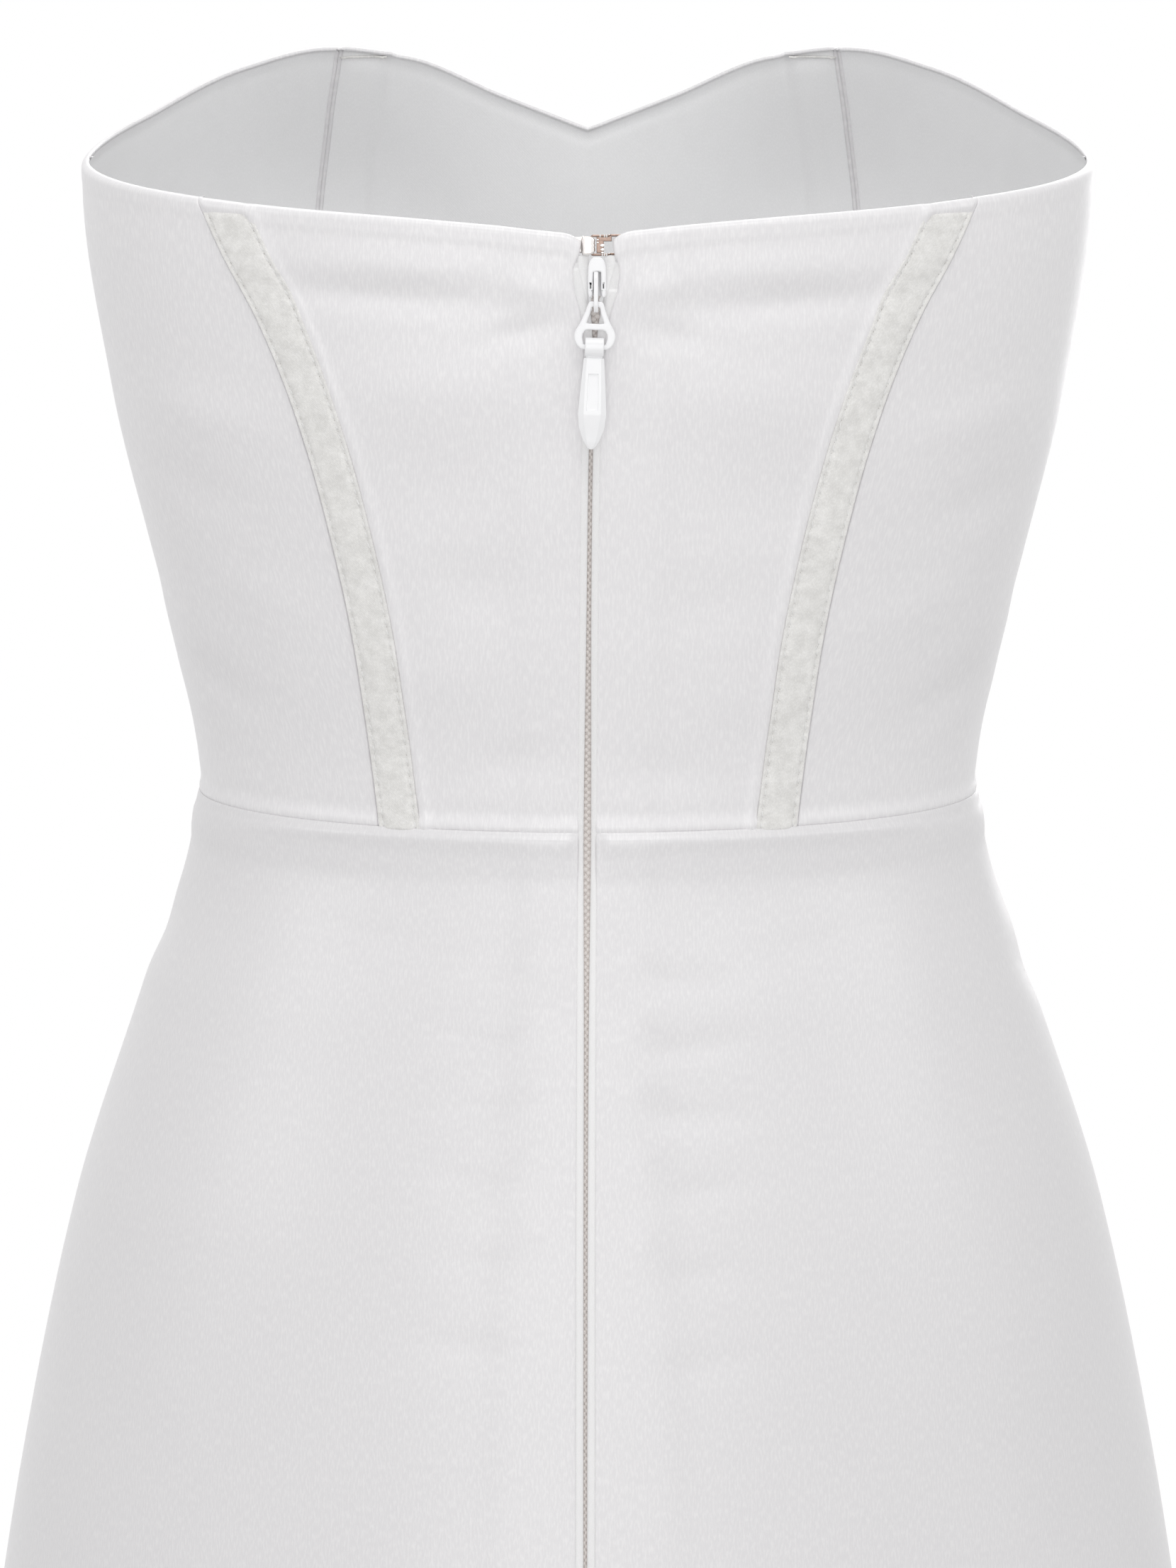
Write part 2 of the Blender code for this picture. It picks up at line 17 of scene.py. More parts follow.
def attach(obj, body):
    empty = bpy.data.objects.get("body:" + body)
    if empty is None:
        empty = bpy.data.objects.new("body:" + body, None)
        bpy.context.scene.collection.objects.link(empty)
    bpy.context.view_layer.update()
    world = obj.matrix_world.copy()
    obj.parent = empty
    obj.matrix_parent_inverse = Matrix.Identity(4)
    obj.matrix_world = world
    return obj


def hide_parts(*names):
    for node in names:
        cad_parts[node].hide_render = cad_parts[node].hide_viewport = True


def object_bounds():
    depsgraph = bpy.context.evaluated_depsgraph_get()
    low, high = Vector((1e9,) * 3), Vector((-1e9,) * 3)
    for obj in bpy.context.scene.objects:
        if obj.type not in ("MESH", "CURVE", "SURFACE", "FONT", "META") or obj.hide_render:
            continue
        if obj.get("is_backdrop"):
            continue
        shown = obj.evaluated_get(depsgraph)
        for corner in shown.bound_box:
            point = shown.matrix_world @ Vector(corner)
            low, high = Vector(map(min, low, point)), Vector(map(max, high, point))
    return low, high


MM = 0.001
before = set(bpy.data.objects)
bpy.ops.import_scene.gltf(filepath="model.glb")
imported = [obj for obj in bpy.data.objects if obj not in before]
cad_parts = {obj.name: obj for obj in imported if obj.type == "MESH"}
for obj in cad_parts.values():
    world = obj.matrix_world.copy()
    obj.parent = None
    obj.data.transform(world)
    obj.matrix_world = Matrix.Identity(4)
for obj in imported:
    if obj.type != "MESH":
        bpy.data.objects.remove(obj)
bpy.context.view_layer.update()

# %% [markdown]
# ## The camera
# A picture taken from far away with a long lens keeps upright lines upright and shows a little of the
# tops of things. Here one pixel of the photograph is 0.2 mm at the centre back, so the height of the view
# is known, and the lens follows from it and from the distance. The camera looks slightly down, which is
# why the level waist seam shows as a curve that rises towards the sides.

# %% Camera at the photograph's angle
PHOTO_HEIGHT_PX = 2212
MM_PER_PIXEL = 0.2
CAMERA_TARGET = Vector((0.0, -0.090, 0.0152))
CAMERA_DISTANCE = 2.0
CAMERA_ELEVATION = math.radians(8.5)
SENSOR = 36.0

camera = bpy.data.objects.new("camera", bpy.data.cameras.new("camera"))
bpy.context.scene.collection.objects.link(camera)
towards_camera = Vector((0, -math.cos(CAMERA_ELEVATION), math.sin(CAMERA_ELEVATION)))
camera.location = CAMERA_TARGET + towards_camera * CAMERA_DISTANCE
camera.rotation_euler = (-towards_camera).to_track_quat("-Z", "Y").to_euler()
camera.data.sensor_width = SENSOR
camera.data.lens = SENSOR * CAMERA_DISTANCE / (PHOTO_HEIGHT_PX * MM_PER_PIXEL * MM)
camera.data.clip_start = 0.05
camera.data.clip_end = 100
bpy.context.scene.camera = camera
print("lens in mm:", round(camera.data.lens, 2))

# %% [markdown]
# ## Small helpers for shader nodes
# A finish is a tree of nodes, and most of its lines would only make a node and fill in its inputs, so two
# helpers do that. A pattern that several finishes share is a node group, made once. A group gives out only
# heights and masks. The shader itself stays in each material, where its gloss and sheen are plain numbers.


# %% Helpers that put nodes together
def set_inputs(tree, node, **inputs):
    """Gives each input named, with _ for a space, a link or a plain value."""
    for label, value in inputs.items():
        feed(tree, node.inputs[label.replace("_", " ")], value)
    return node


def feed(tree, socket, value):
    if isinstance(value, bpy.types.NodeSocket):
        tree.links.new(value, socket)
    else:
        socket.default_value = value


def add_node(tree, kind, setting=None, **inputs):
    """A node of that kind, with one setting (name, value) and its inputs filled in."""
    node = tree.nodes.new(f"ShaderNode{kind}")
    if setting:
        setattr(node, *setting)
    return set_inputs(tree, node, **inputs)


def maths(tree, operation, *values, kind="Math"):
    step = add_node(tree, kind, ("operation", operation))
    for socket, value in zip(step.inputs, values):
        feed(tree, socket, value)
    return step.outputs[0]


def new_group(name, inputs, outputs):
    """An empty group with named inputs (name, kind, value) and outputs (name)."""
    group = bpy.data.node_groups.new(name, "ShaderNodeTree")
    for label, kind, value in inputs:
        socket = group.interface.new_socket(label, in_out="INPUT", socket_type=f"NodeSocket{kind}")
        if value is not None:
            socket.default_value = value
    for label in outputs:
        group.interface.new_socket(label, in_out="OUTPUT", socket_type="NodeSocketFloat")
    return group, group.nodes.new("NodeGroupInput").outputs, group.nodes.new("NodeGroupOutput")


def use_group(tree, group, **values):
    node = tree.nodes.new("ShaderNodeGroup")
    node.node_tree = group
    return set_inputs(tree, node, **values).outputs


# %% [markdown]
# ## Light
# White satin on a white page needs soft light from everywhere, or it turns grey and hard. The world gives
# most of it. A large softbox before the back, a higher one over it and one at each side add the gentle
# change from the middle to the sides, and two more light the front, because the gown is looked at from all
# round. Rays that mirror off a surface see the page's full white, as the shine of metal and lacquer is
# that of a white studio. The Standard view transform keeps white as white.

# %% World and softboxes
bpy.context.scene.view_settings.view_transform = "Standard"
bpy.context.scene.view_settings.look = "None"
WORLD_LIGHT = 0.58
PAGE_WHITE = 1.0

world = bpy.data.worlds.new("studio")
bpy.context.scene.world = world
world.use_nodes = True
tree = world.node_tree
ray = add_node(tree, "LightPath").outputs
bright = maths(tree, "MAXIMUM", ray["Is Camera Ray"], ray["Is Glossy Ray"])
level = add_node(tree, "Mix", Factor=bright, A=WORLD_LIGHT, B=PAGE_WHITE)
set_inputs(tree, tree.nodes["Background"], Strength=level.outputs["Result"], Color=(1, 1, 1, 1))

SOFTBOXES = (
    # name, place, aim, size, watts
    ("back_key", (-0.15, -2.5, 0.3), (0, 0, 0.12), 1.5, 10.2),
    ("back_hint", (0.9, -1.6, 1.0), (0, 0, 0.10), 0.3, 1.2),
    ("back_top", (0.1, -1.1, 2.1), (0, 0, 0.05), 1.1, 12.0),
    ("back_left", (-2.2, -1.0, 0.9), (0, 0, 0.0), 1.2, 5.2),
    ("back_right", (2.2, -1.0, 0.9), (0, 0, 0.0), 1.2, 4.4),
    ("front_key", (0.4, 2.4, 0.5), (0, 0, 0.0), 1.5, 15.0),
    ("front_top", (-0.3, 1.1, 2.1), (0, 0, 0.05), 1.1, 11.0),
)
for name, place, aim, size, watts in SOFTBOXES:
    light = bpy.data.lights.new(name, "AREA")
    light.shape = "SQUARE"
    light.size = size
    light.energy = watts
    holder = bpy.data.objects.new(name, light)
    holder.location = place
    holder.rotation_euler = (Vector(aim) - Vector(place)).to_track_quat("-Z", "Y").to_euler()
    bpy.context.scene.collection.objects.link(holder)
print("softboxes:", len(SOFTBOXES))

# %% [markdown]
# ## Patterns shared by the finishes
# Slubs are the short uneven threads that run down this satin: noise that is stretched along the cloth.
# The weave is rows of small humps, every second row shifted by half a thread. Both read the cloth's own
# map, in metres, so they follow a panel round the body at their real size.


# %% Node groups: slubs, weave, mottling
def make_slubs():
    """Streaks along the cloth, so many to the metre across and along."""
    inputs = (("Cloth", "Vector", None), ("Across", "Float", 2000.0), ("Along", "Float", 300.0))
    group, given, out = new_group("slubs", inputs, ("Height", "Mask"))
    scale = add_node(group, "CombineXYZ", X=given["Across"], Y=given["Along"]).outputs[0]
    place = maths(group, "MULTIPLY", given["Cloth"], scale, kind="VectorMath")
    flat = ("noise_dimensions", "2D")
    noise = add_node(group, "TexNoise", flat, Scale=1.0, Detail=2.0, Roughness=0.6, Vector=place)
    streaks = noise.outputs["Fac"]
    spread = add_node(group, "MapRange", From_Min=0.42, From_Max=0.72, Value=streaks)
    set_inputs(group, out, Height=streaks, Mask=spread.outputs["Result"])
    return group


def make_weave():
    """Humps of crossing threads, so many threads to the metre."""
    inputs = (("Cloth", "Vector", None), ("Threads", "Float", 2500.0))
    group, given, out = new_group("weave", inputs, ("Height",))
    parts = add_node(group, "SeparateXYZ", Vector=given["Cloth"]).outputs
    turns = maths(group, "MULTIPLY", given["Threads"], math.pi)
    across, along = (maths(group, "SINE", maths(group, "MULTIPLY", parts[axis], turns)) for axis in "XY")
    humps = maths(group, "MULTIPLY", across, along)
    set_inputs(group, out, Height=maths(group, "MULTIPLY_ADD", humps, 0.5, 0.5))
    return group


def make_mottling():
    """Soft blotches, so many to the metre, on the object's own coordinates."""
    inputs = (("Place", "Vector", None), ("Blotches", "Float", 60.0))
    group, given, out = new_group("mottling", inputs, ("Mask",))
    noise = add_node(group, "TexNoise", Vector=given["Place"], Scale=given["Blotches"])
    set_inputs(group, noise, Detail=3.0, Roughness=0.55)
    set_inputs(group, out, Mask=noise.outputs["Fac"])
    return group


SLUBS = make_slubs()
WEAVE = make_weave()
MOTTLING = make_mottling()
print("groups:", [group.name for group in (SLUBS, WEAVE, MOTTLING)])


# %% Helpers for a finish
def start_finish(name, roughness, metallic=0.0):
    """A new material, its tree, its shader, and the cloth map and object coordinates to read."""
    finish = bpy.data.materials.new(name)
    finish.use_nodes = True
    tree = finish.node_tree
    shader = set_inputs(tree, tree.nodes["Principled BSDF"], Roughness=roughness, Metallic=metallic)
    cloth = add_node(tree, "UVMap", ("uv_map", "cloth"))
    return finish, tree, shader, cloth.outputs["UV"], add_node(tree, "TexCoord").outputs["Object"]


def colour_between(tree, shader, dark, light, mask):
    """Base colour that goes from dark to light by a mask."""
    mix = add_node(tree, "Mix", ("data_type", "RGBA"), Factor=mask, A=(*dark, 1), B=(*light, 1))
    set_inputs(tree, shader, Base_Color=mix.outputs["Result"])


def raise_by(tree, shader, height, millimetres, strength):
    """Bump of that depth from a height between 0 and 1."""
    bump = add_node(tree, "Bump", Distance=millimetres * MM, Strength=strength, Height=height)
    set_inputs(tree, shader, Normal=bump.outputs["Normal"])


# %% [markdown]
# ## The satin
# Heavy bridal satin is nearly white with a cool cast. Its gloss is wide and soft, and thin slubs break it
# into fine upright streaks on the bodice. On the skirt the photograph shows a finer, more even grain, so
# the same recipe is used with shorter streaks.


# %% Satin for bodice and skirt
SATIN_DARK = (0.770, 0.757, 0.771)
SATIN_LIGHT = (0.872, 0.860, 0.866)


def satin(name, across, along, depth, painted_shade):
    finish, tree, shader, cloth, place = start_finish(name, 0.36)
    slubs = use_group(tree, SLUBS, Cloth=cloth, Across=across, Along=along)
    grain = use_group(tree, SLUBS, Cloth=cloth, Across=across * 2.2, Along=along * 5.0)
    blotches = use_group(tree, MOTTLING, Place=place, Blotches=26.0)
    tone = maths(tree, "MULTIPLY_ADD", slubs["Mask"], 0.6, 0.16)
    tone = maths(tree, "MULTIPLY_ADD", blotches["Mask"], 0.3, tone)
    # painted_shade darkens a copy of the same satin for how the light falls on it
    dark, light = ([painted_shade * value for value in colour] for colour in (SATIN_DARK, SATIN_LIGHT))
    colour_between(tree, shader, dark, light, tone)
    rough = maths(tree, "MULTIPLY_ADD", slubs["Mask"], -0.06, 0.38)
    set_inputs(tree, shader, Roughness=rough, Specular_IOR_Level=0.8, Sheen_Weight=0.12, Sheen_Roughness=0.35)
    raise_by(tree, shader, maths(tree, "MULTIPLY_ADD", grain["Height"], 0.35, slubs["Height"]), depth, 0.5)
    return finish


BODICE_SATIN = satin("bodice_satin", 1500.0, 300.0, 0.1, 1.0)
# The skirt's copy is 0.926 as light: painted shade, the same satin made darker below the waist for how the
# light falls there.
SKIRT_SATIN = satin("skirt_satin", 1700.0, 420.0, 0.035, 0.926)
print("satins:", BODICE_SATIN.name, SKIRT_SATIN.name)

# %% [markdown]
# ## Tapes, thread, lacquer and metal
# The boning casing is a matte woven tape, warmer and greyer than the satin. The zip tape is a tighter
# weave. The slider, ring and pull are zinc with thick white lacquer, so they shine evenly, with a trace
# of waviness. The hook and eye are polished nickel that has taken a warm tint; the eye's dark brown is
# painted dark reflection and shade.


# %% The other finishes
def woven(name, dark, light, threads, depth, blotches_to_metre, roughness, patchy=0.75):
    finish, tree, shader, cloth, place = start_finish(name, roughness)
    weave = use_group(tree, WEAVE, Cloth=cloth, Threads=threads)
    fuzz = use_group(tree, SLUBS, Cloth=cloth, Across=threads * 0.8, Along=threads * 0.55)
    blotches = use_group(tree, MOTTLING, Place=place, Blotches=blotches_to_metre)
    tone = maths(tree, "MULTIPLY_ADD", blotches["Mask"], patchy, 0.275 - patchy / 2)
    colour_between(tree, shader, dark, light, maths(tree, "MULTIPLY_ADD", fuzz["Mask"], 0.5, tone))
    raise_by(tree, shader, maths(tree, "MULTIPLY_ADD", weave["Height"], 0.6, fuzz["Height"]), depth, 0.7)
    set_inputs(tree, shader, Sheen_Weight=0.2, Sheen_Roughness=0.6)
    return finish


def hard(name, dark, light, roughness, metallic, blotches_to_metre, depth):
    finish, tree, shader, _, place = start_finish(name, roughness, metallic)
    blotches = use_group(tree, MOTTLING, Place=place, Blotches=blotches_to_metre)["Mask"]
    colour_between(tree, shader, dark, light, blotches)
    raise_by(tree, shader, blotches, depth, 0.4)
    return finish


CASING_TAPE = woven("casing_tape", (0.74, 0.73, 0.71), (0.89, 0.88, 0.86), 2600.0, 0.09, 300.0, 0.85, 2.2)
ZIP_TAPE = woven("woven_zip_tape", (0.87, 0.865, 0.865), (0.93, 0.925, 0.925), 3600.0, 0.05, 300.0, 0.75)
LINING = woven("lining", (0.86, 0.86, 0.865), (0.92, 0.92, 0.925), 2400.0, 0.04, 60.0, 0.6)
# painted shade: the colour of the dark beads that stand for the shade inside the needle holes
NEEDLE_HOLE_SHADE = hard("needle_hole", (0.42, 0.40, 0.38), (0.50, 0.48, 0.46), 0.9, 0.0, 900.0, 0.02)
THREAD = woven("sewing_thread", (0.84, 0.84, 0.83), (0.93, 0.93, 0.92), 5200.0, 0.03, 500.0, 0.5)
COIL_NYLON = hard("coil_nylon", (0.70, 0.65, 0.62), (0.78, 0.74, 0.71), 0.4, 0.0, 700.0, 0.02)
COIL_CORD = hard("coil_cord", (0.71, 0.655, 0.63), (0.77, 0.72, 0.695), 0.7, 0.0, 700.0, 0.02)
LACQUER = hard("white_zip_lacquer", (0.91, 0.91, 0.92), (0.94, 0.94, 0.95), 0.14, 0.0, 260.0, 0.015)
NICKEL = hard("bright_nickel", (0.90, 0.86, 0.83), (0.95, 0.92, 0.90), 0.14, 1.0, 900.0, 0.02)
# painted dark reflection and shade: a dark brown metal for the eye's wire and bars
NICKEL_PAINTED_DARK = hard("rose_nickel", (0.20, 0.14, 0.115), (0.36, 0.27, 0.23), 0.28, 1.0, 900.0, 0.02)
FLOOR_FINISH = hard("pale_floor", (0.80, 0.80, 0.80), (0.83, 0.83, 0.83), 0.7, 0.0, 3.0, 0.2)

# %% [markdown]
# ## The floor
# The gown is held up, as its wearer would hold it, so the floor lies just under the hem.

# %% Helper that makes an object of a bmesh, and a pale floor
def finished(shape, name, finish, smooth_angle=None):
    """A mesh object from a bmesh, with the cloth map that some finishes read."""
    mesh = bpy.data.meshes.new(name)
    shape.to_mesh(mesh)
    shape.free()
    mesh.uv_layers.new(name="cloth")
    mesh.materials.append(finish)
    mesh.shade_smooth()
    if smooth_angle:
        mesh.set_sharp_from_angle(angle=math.radians(smooth_angle))
    obj = bpy.data.objects.new(name, mesh)
    bpy.context.scene.collection.objects.link(obj)
    return obj


FLOOR_HEIGHT = -1.115
FLOOR_HALF = 3.0
shape = bmesh.new()
under = Matrix.Translation((0, 0, FLOOR_HEIGHT))
bmesh.ops.create_grid(shape, x_segments=1, y_segments=1, size=FLOOR_HALF, matrix=under)
finished(shape, "floor", FLOOR_FINISH)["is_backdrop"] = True

# %% [markdown]
# ## The gown's form
# Cloth on a body is one smooth surface. An angle round the body and a height give a point on it: the
# level cuts in the table are joined by curves that never overshoot, the cups are soft swellings, and the
# skirt's flutes are ridges that deepen towards the hem. These are the sizes of the solids, in
# millimetres, and numpy works them out for a whole panel at once.

# %% Sizes of the form
SECTIONS = (
    # height, half_width, back_depth, front_depth, fullness
    (-1100, 336, 296, 270, 0.00),
    (-700, 262, 224, 204, 0.01),
    (-420, 208, 166, 150, 0.04),
    (-280, 182, 141, 124, 0.06),
    (-200, 169, 130, 112, 0.07),
    (-120, 152, 117, 103, 0.07),
    (-55, 131, 101, 94, 0.05),
    (0, 114, 87, 87, 0.03),
    (60, 125, 94, 94, 0.09),
    (120, 139, 101, 103, 0.15),
    (180, 147, 105, 107, 0.19),
    (240, 146, 104, 105, 0.19),
)
CUP_OUT = 84
CUP_HEIGHT = 152
CUP_DEPTH = 33
CUP_HALF_WIDTH = 52
CUP_ABOVE = 62
CUP_BELOW = 50
NECKLINE = (
    # angle, height
    (0, 171.0), (5.5, 172.3), (10, 173.5), (18, 175.1), (24, 176.1), (36, 177.8), (46, 179.4),
    (70, 183.0), (92, 187.0), (114, 195.0), (134, 208.5), (147, 214.0), (158, 211.0), (170, 199.0),
    (180, 189.0),
)
FLUTES = (
    # angle, half_angle, depth, start
    (-164, 15, 26, 330),
    (-136, 13, 19, 420),
    (-109, 15, 30, 300),
    (-78, 16, 24, 360),
    (-47, 15, 31, 330),
    (-17, 14, 22, 440),
    (12, 14, 27, 380),
    (41, 15, 23, 420),
    (71, 16, 32, 300),
    (103, 15, 21, 400),
    (133, 15, 28, 340),
    (160, 12, 18, 460),
    (180, 9, 12, 520),
)
HEM = -1100


# %% The form as functions of angle and height
def smooth_between(rows, at, column=1):
    """The column's value at places in the first column, on a curve that never overshoots the rows."""
    table = np.array(rows, float)
    xs, ys = table[:, 0], table[:, column]
    slopes = np.diff(ys) / np.diff(xs)
    before, after = slopes[:-1], slopes[1:]
    same_way = before * after > 0
    middle = np.where(same_way, 2 * before * after / np.where(same_way, before + after, 1), 0)
    tangents = np.concatenate([slopes[:1], middle, slopes[-1:]])
    at = np.clip(at, xs[0], xs[-1])
    i = np.clip(np.searchsorted(xs, at) - 1, 0, len(xs) - 2)
    step = xs[i + 1] - xs[i]
    t = (at - xs[i]) / step
    return (
        (2 * t**3 - 3 * t**2 + 1) * ys[i]
        + (t**3 - 2 * t**2 + t) * step * tangents[i]
        + (3 * t**2 - 2 * t**3) * ys[i + 1]
        + (t**3 - t**2) * step * tangents[i + 1]
    )


def ease(t):
    t = np.clip(t, 0.0, 1.0)
    return t * t * (3 - 2 * t)


def form(angle, height):
    """Points of the gown's outer surface, in mm, one row for each angle and height."""
    angle, height = np.broadcast_arrays(np.asarray(angle, float), np.asarray(height, float))
    side, back = np.sin(np.radians(angle)), np.cos(np.radians(angle))
    depth = np.where(back > 0, smooth_between(SECTIONS, height, 2), smooth_between(SECTIONS, height, 3))
    across = smooth_between(SECTIONS, height, 1) * side
    out = -depth * back * (1 + smooth_between(SECTIONS, height, 4) * side**2)
    rise = np.where(height > CUP_HEIGHT, CUP_ABOVE, CUP_BELOW)
    beside = (np.abs(across) - CUP_OUT) / CUP_HALF_WIDTH
    cup = CUP_DEPTH * np.exp(-(beside**2) - ((height - CUP_HEIGHT) / rise) ** 2) * ease(-back / 0.5)
    out = out + np.where(height > 0, cup, 0)
    ripple = np.zeros_like(height)
    for centre, half_angle, flute_depth, start in FLUTES:
        away = np.abs((angle - centre + 180) % 360 - 180)
        deepen = ease((-height - start) / (-HEM - start))
        wave = np.cos(np.pi / 2 * np.minimum(away / half_angle, 1)) ** 2
        ripple = ripple + flute_depth * deepen * wave
    return np.stack([across + ripple * side, out - ripple * back, height], axis=-1)


def outward(angle, height):
    """Unit normals of the outer surface."""
    round_it = form(angle + 0.5, height) - form(angle - 0.5, height)
    up_it = form(angle, height + 1) - form(angle, height - 1)
    normal = np.cross(round_it, up_it)
    return normal / np.linalg.norm(normal, axis=-1, keepdims=True)


def lifted(angle, height, proud):
    """Points so many mm out from the surface."""
    values = (np.asarray(value, float) for value in (angle, height, proud))
    angle, height, proud = np.broadcast_arrays(*values)
    return form(angle, height) + outward(angle, height) * proud[..., None]


def degree_mm(angle, height):
    """The length of one degree along the level cut."""
    return np.linalg.norm(form(angle + 0.5, height) - form(angle - 0.5, height), axis=-1)


def angle_at(across, height, front=False):
    """The angle at which the form is that far out from the centre line."""
    angle = np.degrees(np.arcsin(np.clip(across / smooth_between(SECTIONS, height, 1), -1, 1)))
    return np.copysign(180, across) - angle if front else angle


def neckline(angle):
    return smooth_between(NECKLINE, np.abs((angle + 180) % 360 - 180))


print("waist in mm:", round(float(degree_mm(np.arange(0.5, 360), 0.0).sum())))

# %% [markdown]
# ## Seams and edges
# Each edge of a panel is an angle that depends on the height. Neighbours all but touch at the seam
# between them. The centre back edges leave room for the zip, and open out round its slider.

# %% Sizes of the seams and the zip's place
SEAM_GAP = 0.06
SIDE_SEAM_ANGLE = 90
BACK_SEAM = (
    # height, out
    (0, 59.5), (28, 62.8), (57, 67.0), (95, 75.3), (120, 82.5), (145, 92.5), (164, 102.7), (190, 114.5),
)
FRONT_SEAM = (
    # height, out
    (0, 60.0), (60, 68.0), (110, 78.0), (152, 84.0), (190, 80.0), (225, 74.0),
)
ZIP_LINE = (
    # height, across
    (-240, -0.8), (-120, -0.7), (0, -0.2), (70, 0.3), (110, 0.8), (150, 2.1), (175, 2.6),
)
BACK_OPENING = (
    # height, half_width
    (-236, 2.4), (130, 2.4), (144, 3.1), (150, 4.2), (156, 5.9), (161, 6.4), (167, 4.6), (172, 4.2),
    (180, 4.2),
)
ZIP_END = -236
NEAR_TOP = 175.0


# %% Edges as functions of height
def zip_edge(side):
    def edge(height):
        half = np.where(height >= ZIP_END, smooth_between(BACK_OPENING, height), SEAM_GAP / 2)
        return angle_at(smooth_between(ZIP_LINE, height) + side * half, height)

    return edge


def seam(rows, side, towards, front=False):
    def edge(height):
        angle = angle_at(side * smooth_between(rows, height), height, front)
        return angle + towards * SEAM_GAP / 2 / degree_mm(angle, height)

    return edge


def side_seam(side, towards):
    def edge(height):
        angle = float(side * SIDE_SEAM_ANGLE)
        return angle + towards * SEAM_GAP / 2 / degree_mm(angle, height)

    return edge


def whole_turn_on(edge):
    """The same edge, counted one turn further round."""
    return lambda height: 360 + edge(height)


# %% [markdown]
# ## Creases
# Worn satin isn't smooth: it ripples where the zip and the bones hold it and the body moves. Each crease
# is a long soft trough or ridge with its own place, tilt and size, listed one by one. The ones behind follow
# the photograph, and the front has similar ones.

# %% Creases
CREASE_STRENGTH = 2.3
CREASES = (
    # angle, height, half_length, half_width, depth, tilt
    (-24, 153.5, 26, 4.4, -0.6, -3),
    (-22, 162.5, 30, 5.0, 0.30, -2),
    (-7, 144.0, 9, 3.6, -0.40, 14),
    (-6, 156.0, 8, 4.0, 0.25, -8),
    (-19, 127.0, 30, 11.0, 0.42, 3),
    (-20, 98.0, 20, 13.0, -0.34, 8),
    (-15, 72.0, 14, 10.0, -0.28, -10),
    (-21, 44.0, 16, 9.0, 0.22, 6),
    (-10, 21.0, 12, 6.0, -0.24, 9),
    (24, 152.0, 27, 4.6, -0.6, 3),
    (22, 161.5, 29, 5.0, 0.30, 2),
    (9, 143.0, 9, 3.6, -0.38, -13),
    (8, 156.5, 8, 4.0, 0.24, 9),
    (20, 125.0, 29, 11.0, 0.40, -4),
    (21, 95.0, 20, 13.0, -0.34, -7),
    (16, 66.0, 14, 10.0, -0.28, 9),
    (22, 38.0, 16, 9.0, 0.22, -5),
    (11, 18.0, 12, 6.0, -0.22, -8),
    (-52, 118.0, 22, 7.0, 0.34, -9),
    (-56, 96.0, 20, 7.0, -0.32, -12),
    (-48, 66.0, 18, 8.0, 0.26, -14),
    (-62, 38.0, 20, 6.0, -0.30, -16),
    (54, 116.0, 22, 7.0, 0.34, 10),
    (57, 92.0, 20, 7.0, -0.32, 11),
    (50, 63.0, 18, 8.0, 0.26, 15),
    (61, 35.0, 20, 6.0, -0.30, 14),
    (-100, 60.0, 22, 6.0, -0.36, 10),
    (-104, 34.0, 24, 6.0, 0.30, 6),
    (98, 57.0, 22, 6.0, -0.36, -9),
    (103, 30.0, 24, 6.0, 0.30, -7),
    (-136, 74.0, 18, 7.0, 0.30, -20),
    (134, 70.0, 18, 7.0, 0.30, 22),
    (171, 46.0, 16, 7.0, -0.30, 12),
    (-170, 24.0, 18, 6.0, -0.28, -9),
    (-12, -39.0, 12, 3.6, -0.42, 4),
    (-13, -57.5, 13, 3.8, -0.44, -3),
    (-12, -76.5, 12, 3.6, -0.46, 5),
    (-13, -96.0, 12, 3.9, -0.36, -4),
    (-11, -118.0, 11, 4.2, -0.30, 3),
    (-12, -141.0, 12, 4.4, -0.26, -2),
    (-6, -30.0, 5, 4.0, 0.30, 0),
    (-6, -48.5, 5, 4.4, 0.34, 0),
    (-6, -67.5, 5, 4.2, 0.34, 0),
    (-6, -87.0, 5, 4.6, 0.30, 0),
    (-6, -107.0, 5, 4.8, 0.26, 0),
    (12, -40.5, 12, 3.6, -0.42, -4),
    (13, -58.5, 13, 3.8, -0.42, 4),
    (12, -77.5, 13, 3.7, -0.46, -5),
    (13, -98.0, 12, 3.9, -0.34, 3),
    (12, -121.0, 11, 4.2, -0.30, -4),
    (12, -146.0, 12, 4.4, -0.24, 3),
    (6, -31.0, 5, 4.0, 0.30, 0),
    (6, -49.5, 5, 4.4, 0.34, 0),
    (6, -68.0, 5, 4.2, 0.34, 0),
    (6, -88.0, 5, 4.6, 0.30, 0),
    (6, -110.0, 5, 4.8, 0.26, 0),
    (-31, -30.0, 18, 4.0, -0.26, -7),
    (33, -32.0, 18, 4.0, -0.26, 8),
    (-88, -40.0, 26, 8.0, -0.5, 12),
    (90, -52.0, 26, 8.0, -0.5, -10),
    (-134, -34.0, 24, 7.0, 0.4, 8),
    (140, -40.0, 24, 7.0, 0.4, -9),
    (178, -60.0, 24, 8.0, -0.4, 4),
)
DEGREES_THERE = [float(degree_mm(float(row[0]), float(row[1]))) for row in CREASES]


def creases(angle, height):
    """How far the creases move the cloth out, in mm."""
    out = np.zeros_like(height, dtype=float)
    for (centre, level, half_length, half_width, depth, tilt), degree in zip(CREASES, DEGREES_THERE):
        beside = ((angle - centre + 180) % 360 - 180) * degree
        above = height - level
        turn = math.radians(tilt)
        along = beside * math.cos(turn) + above * math.sin(turn)
        across = above * math.cos(turn) - beside * math.sin(turn)
        fade = np.exp(-((along / half_length) ** 2) - (across / half_width) ** 2)
        out = out + CREASE_STRENGTH * depth * fade
    return out


print("creases:", len(CREASES))


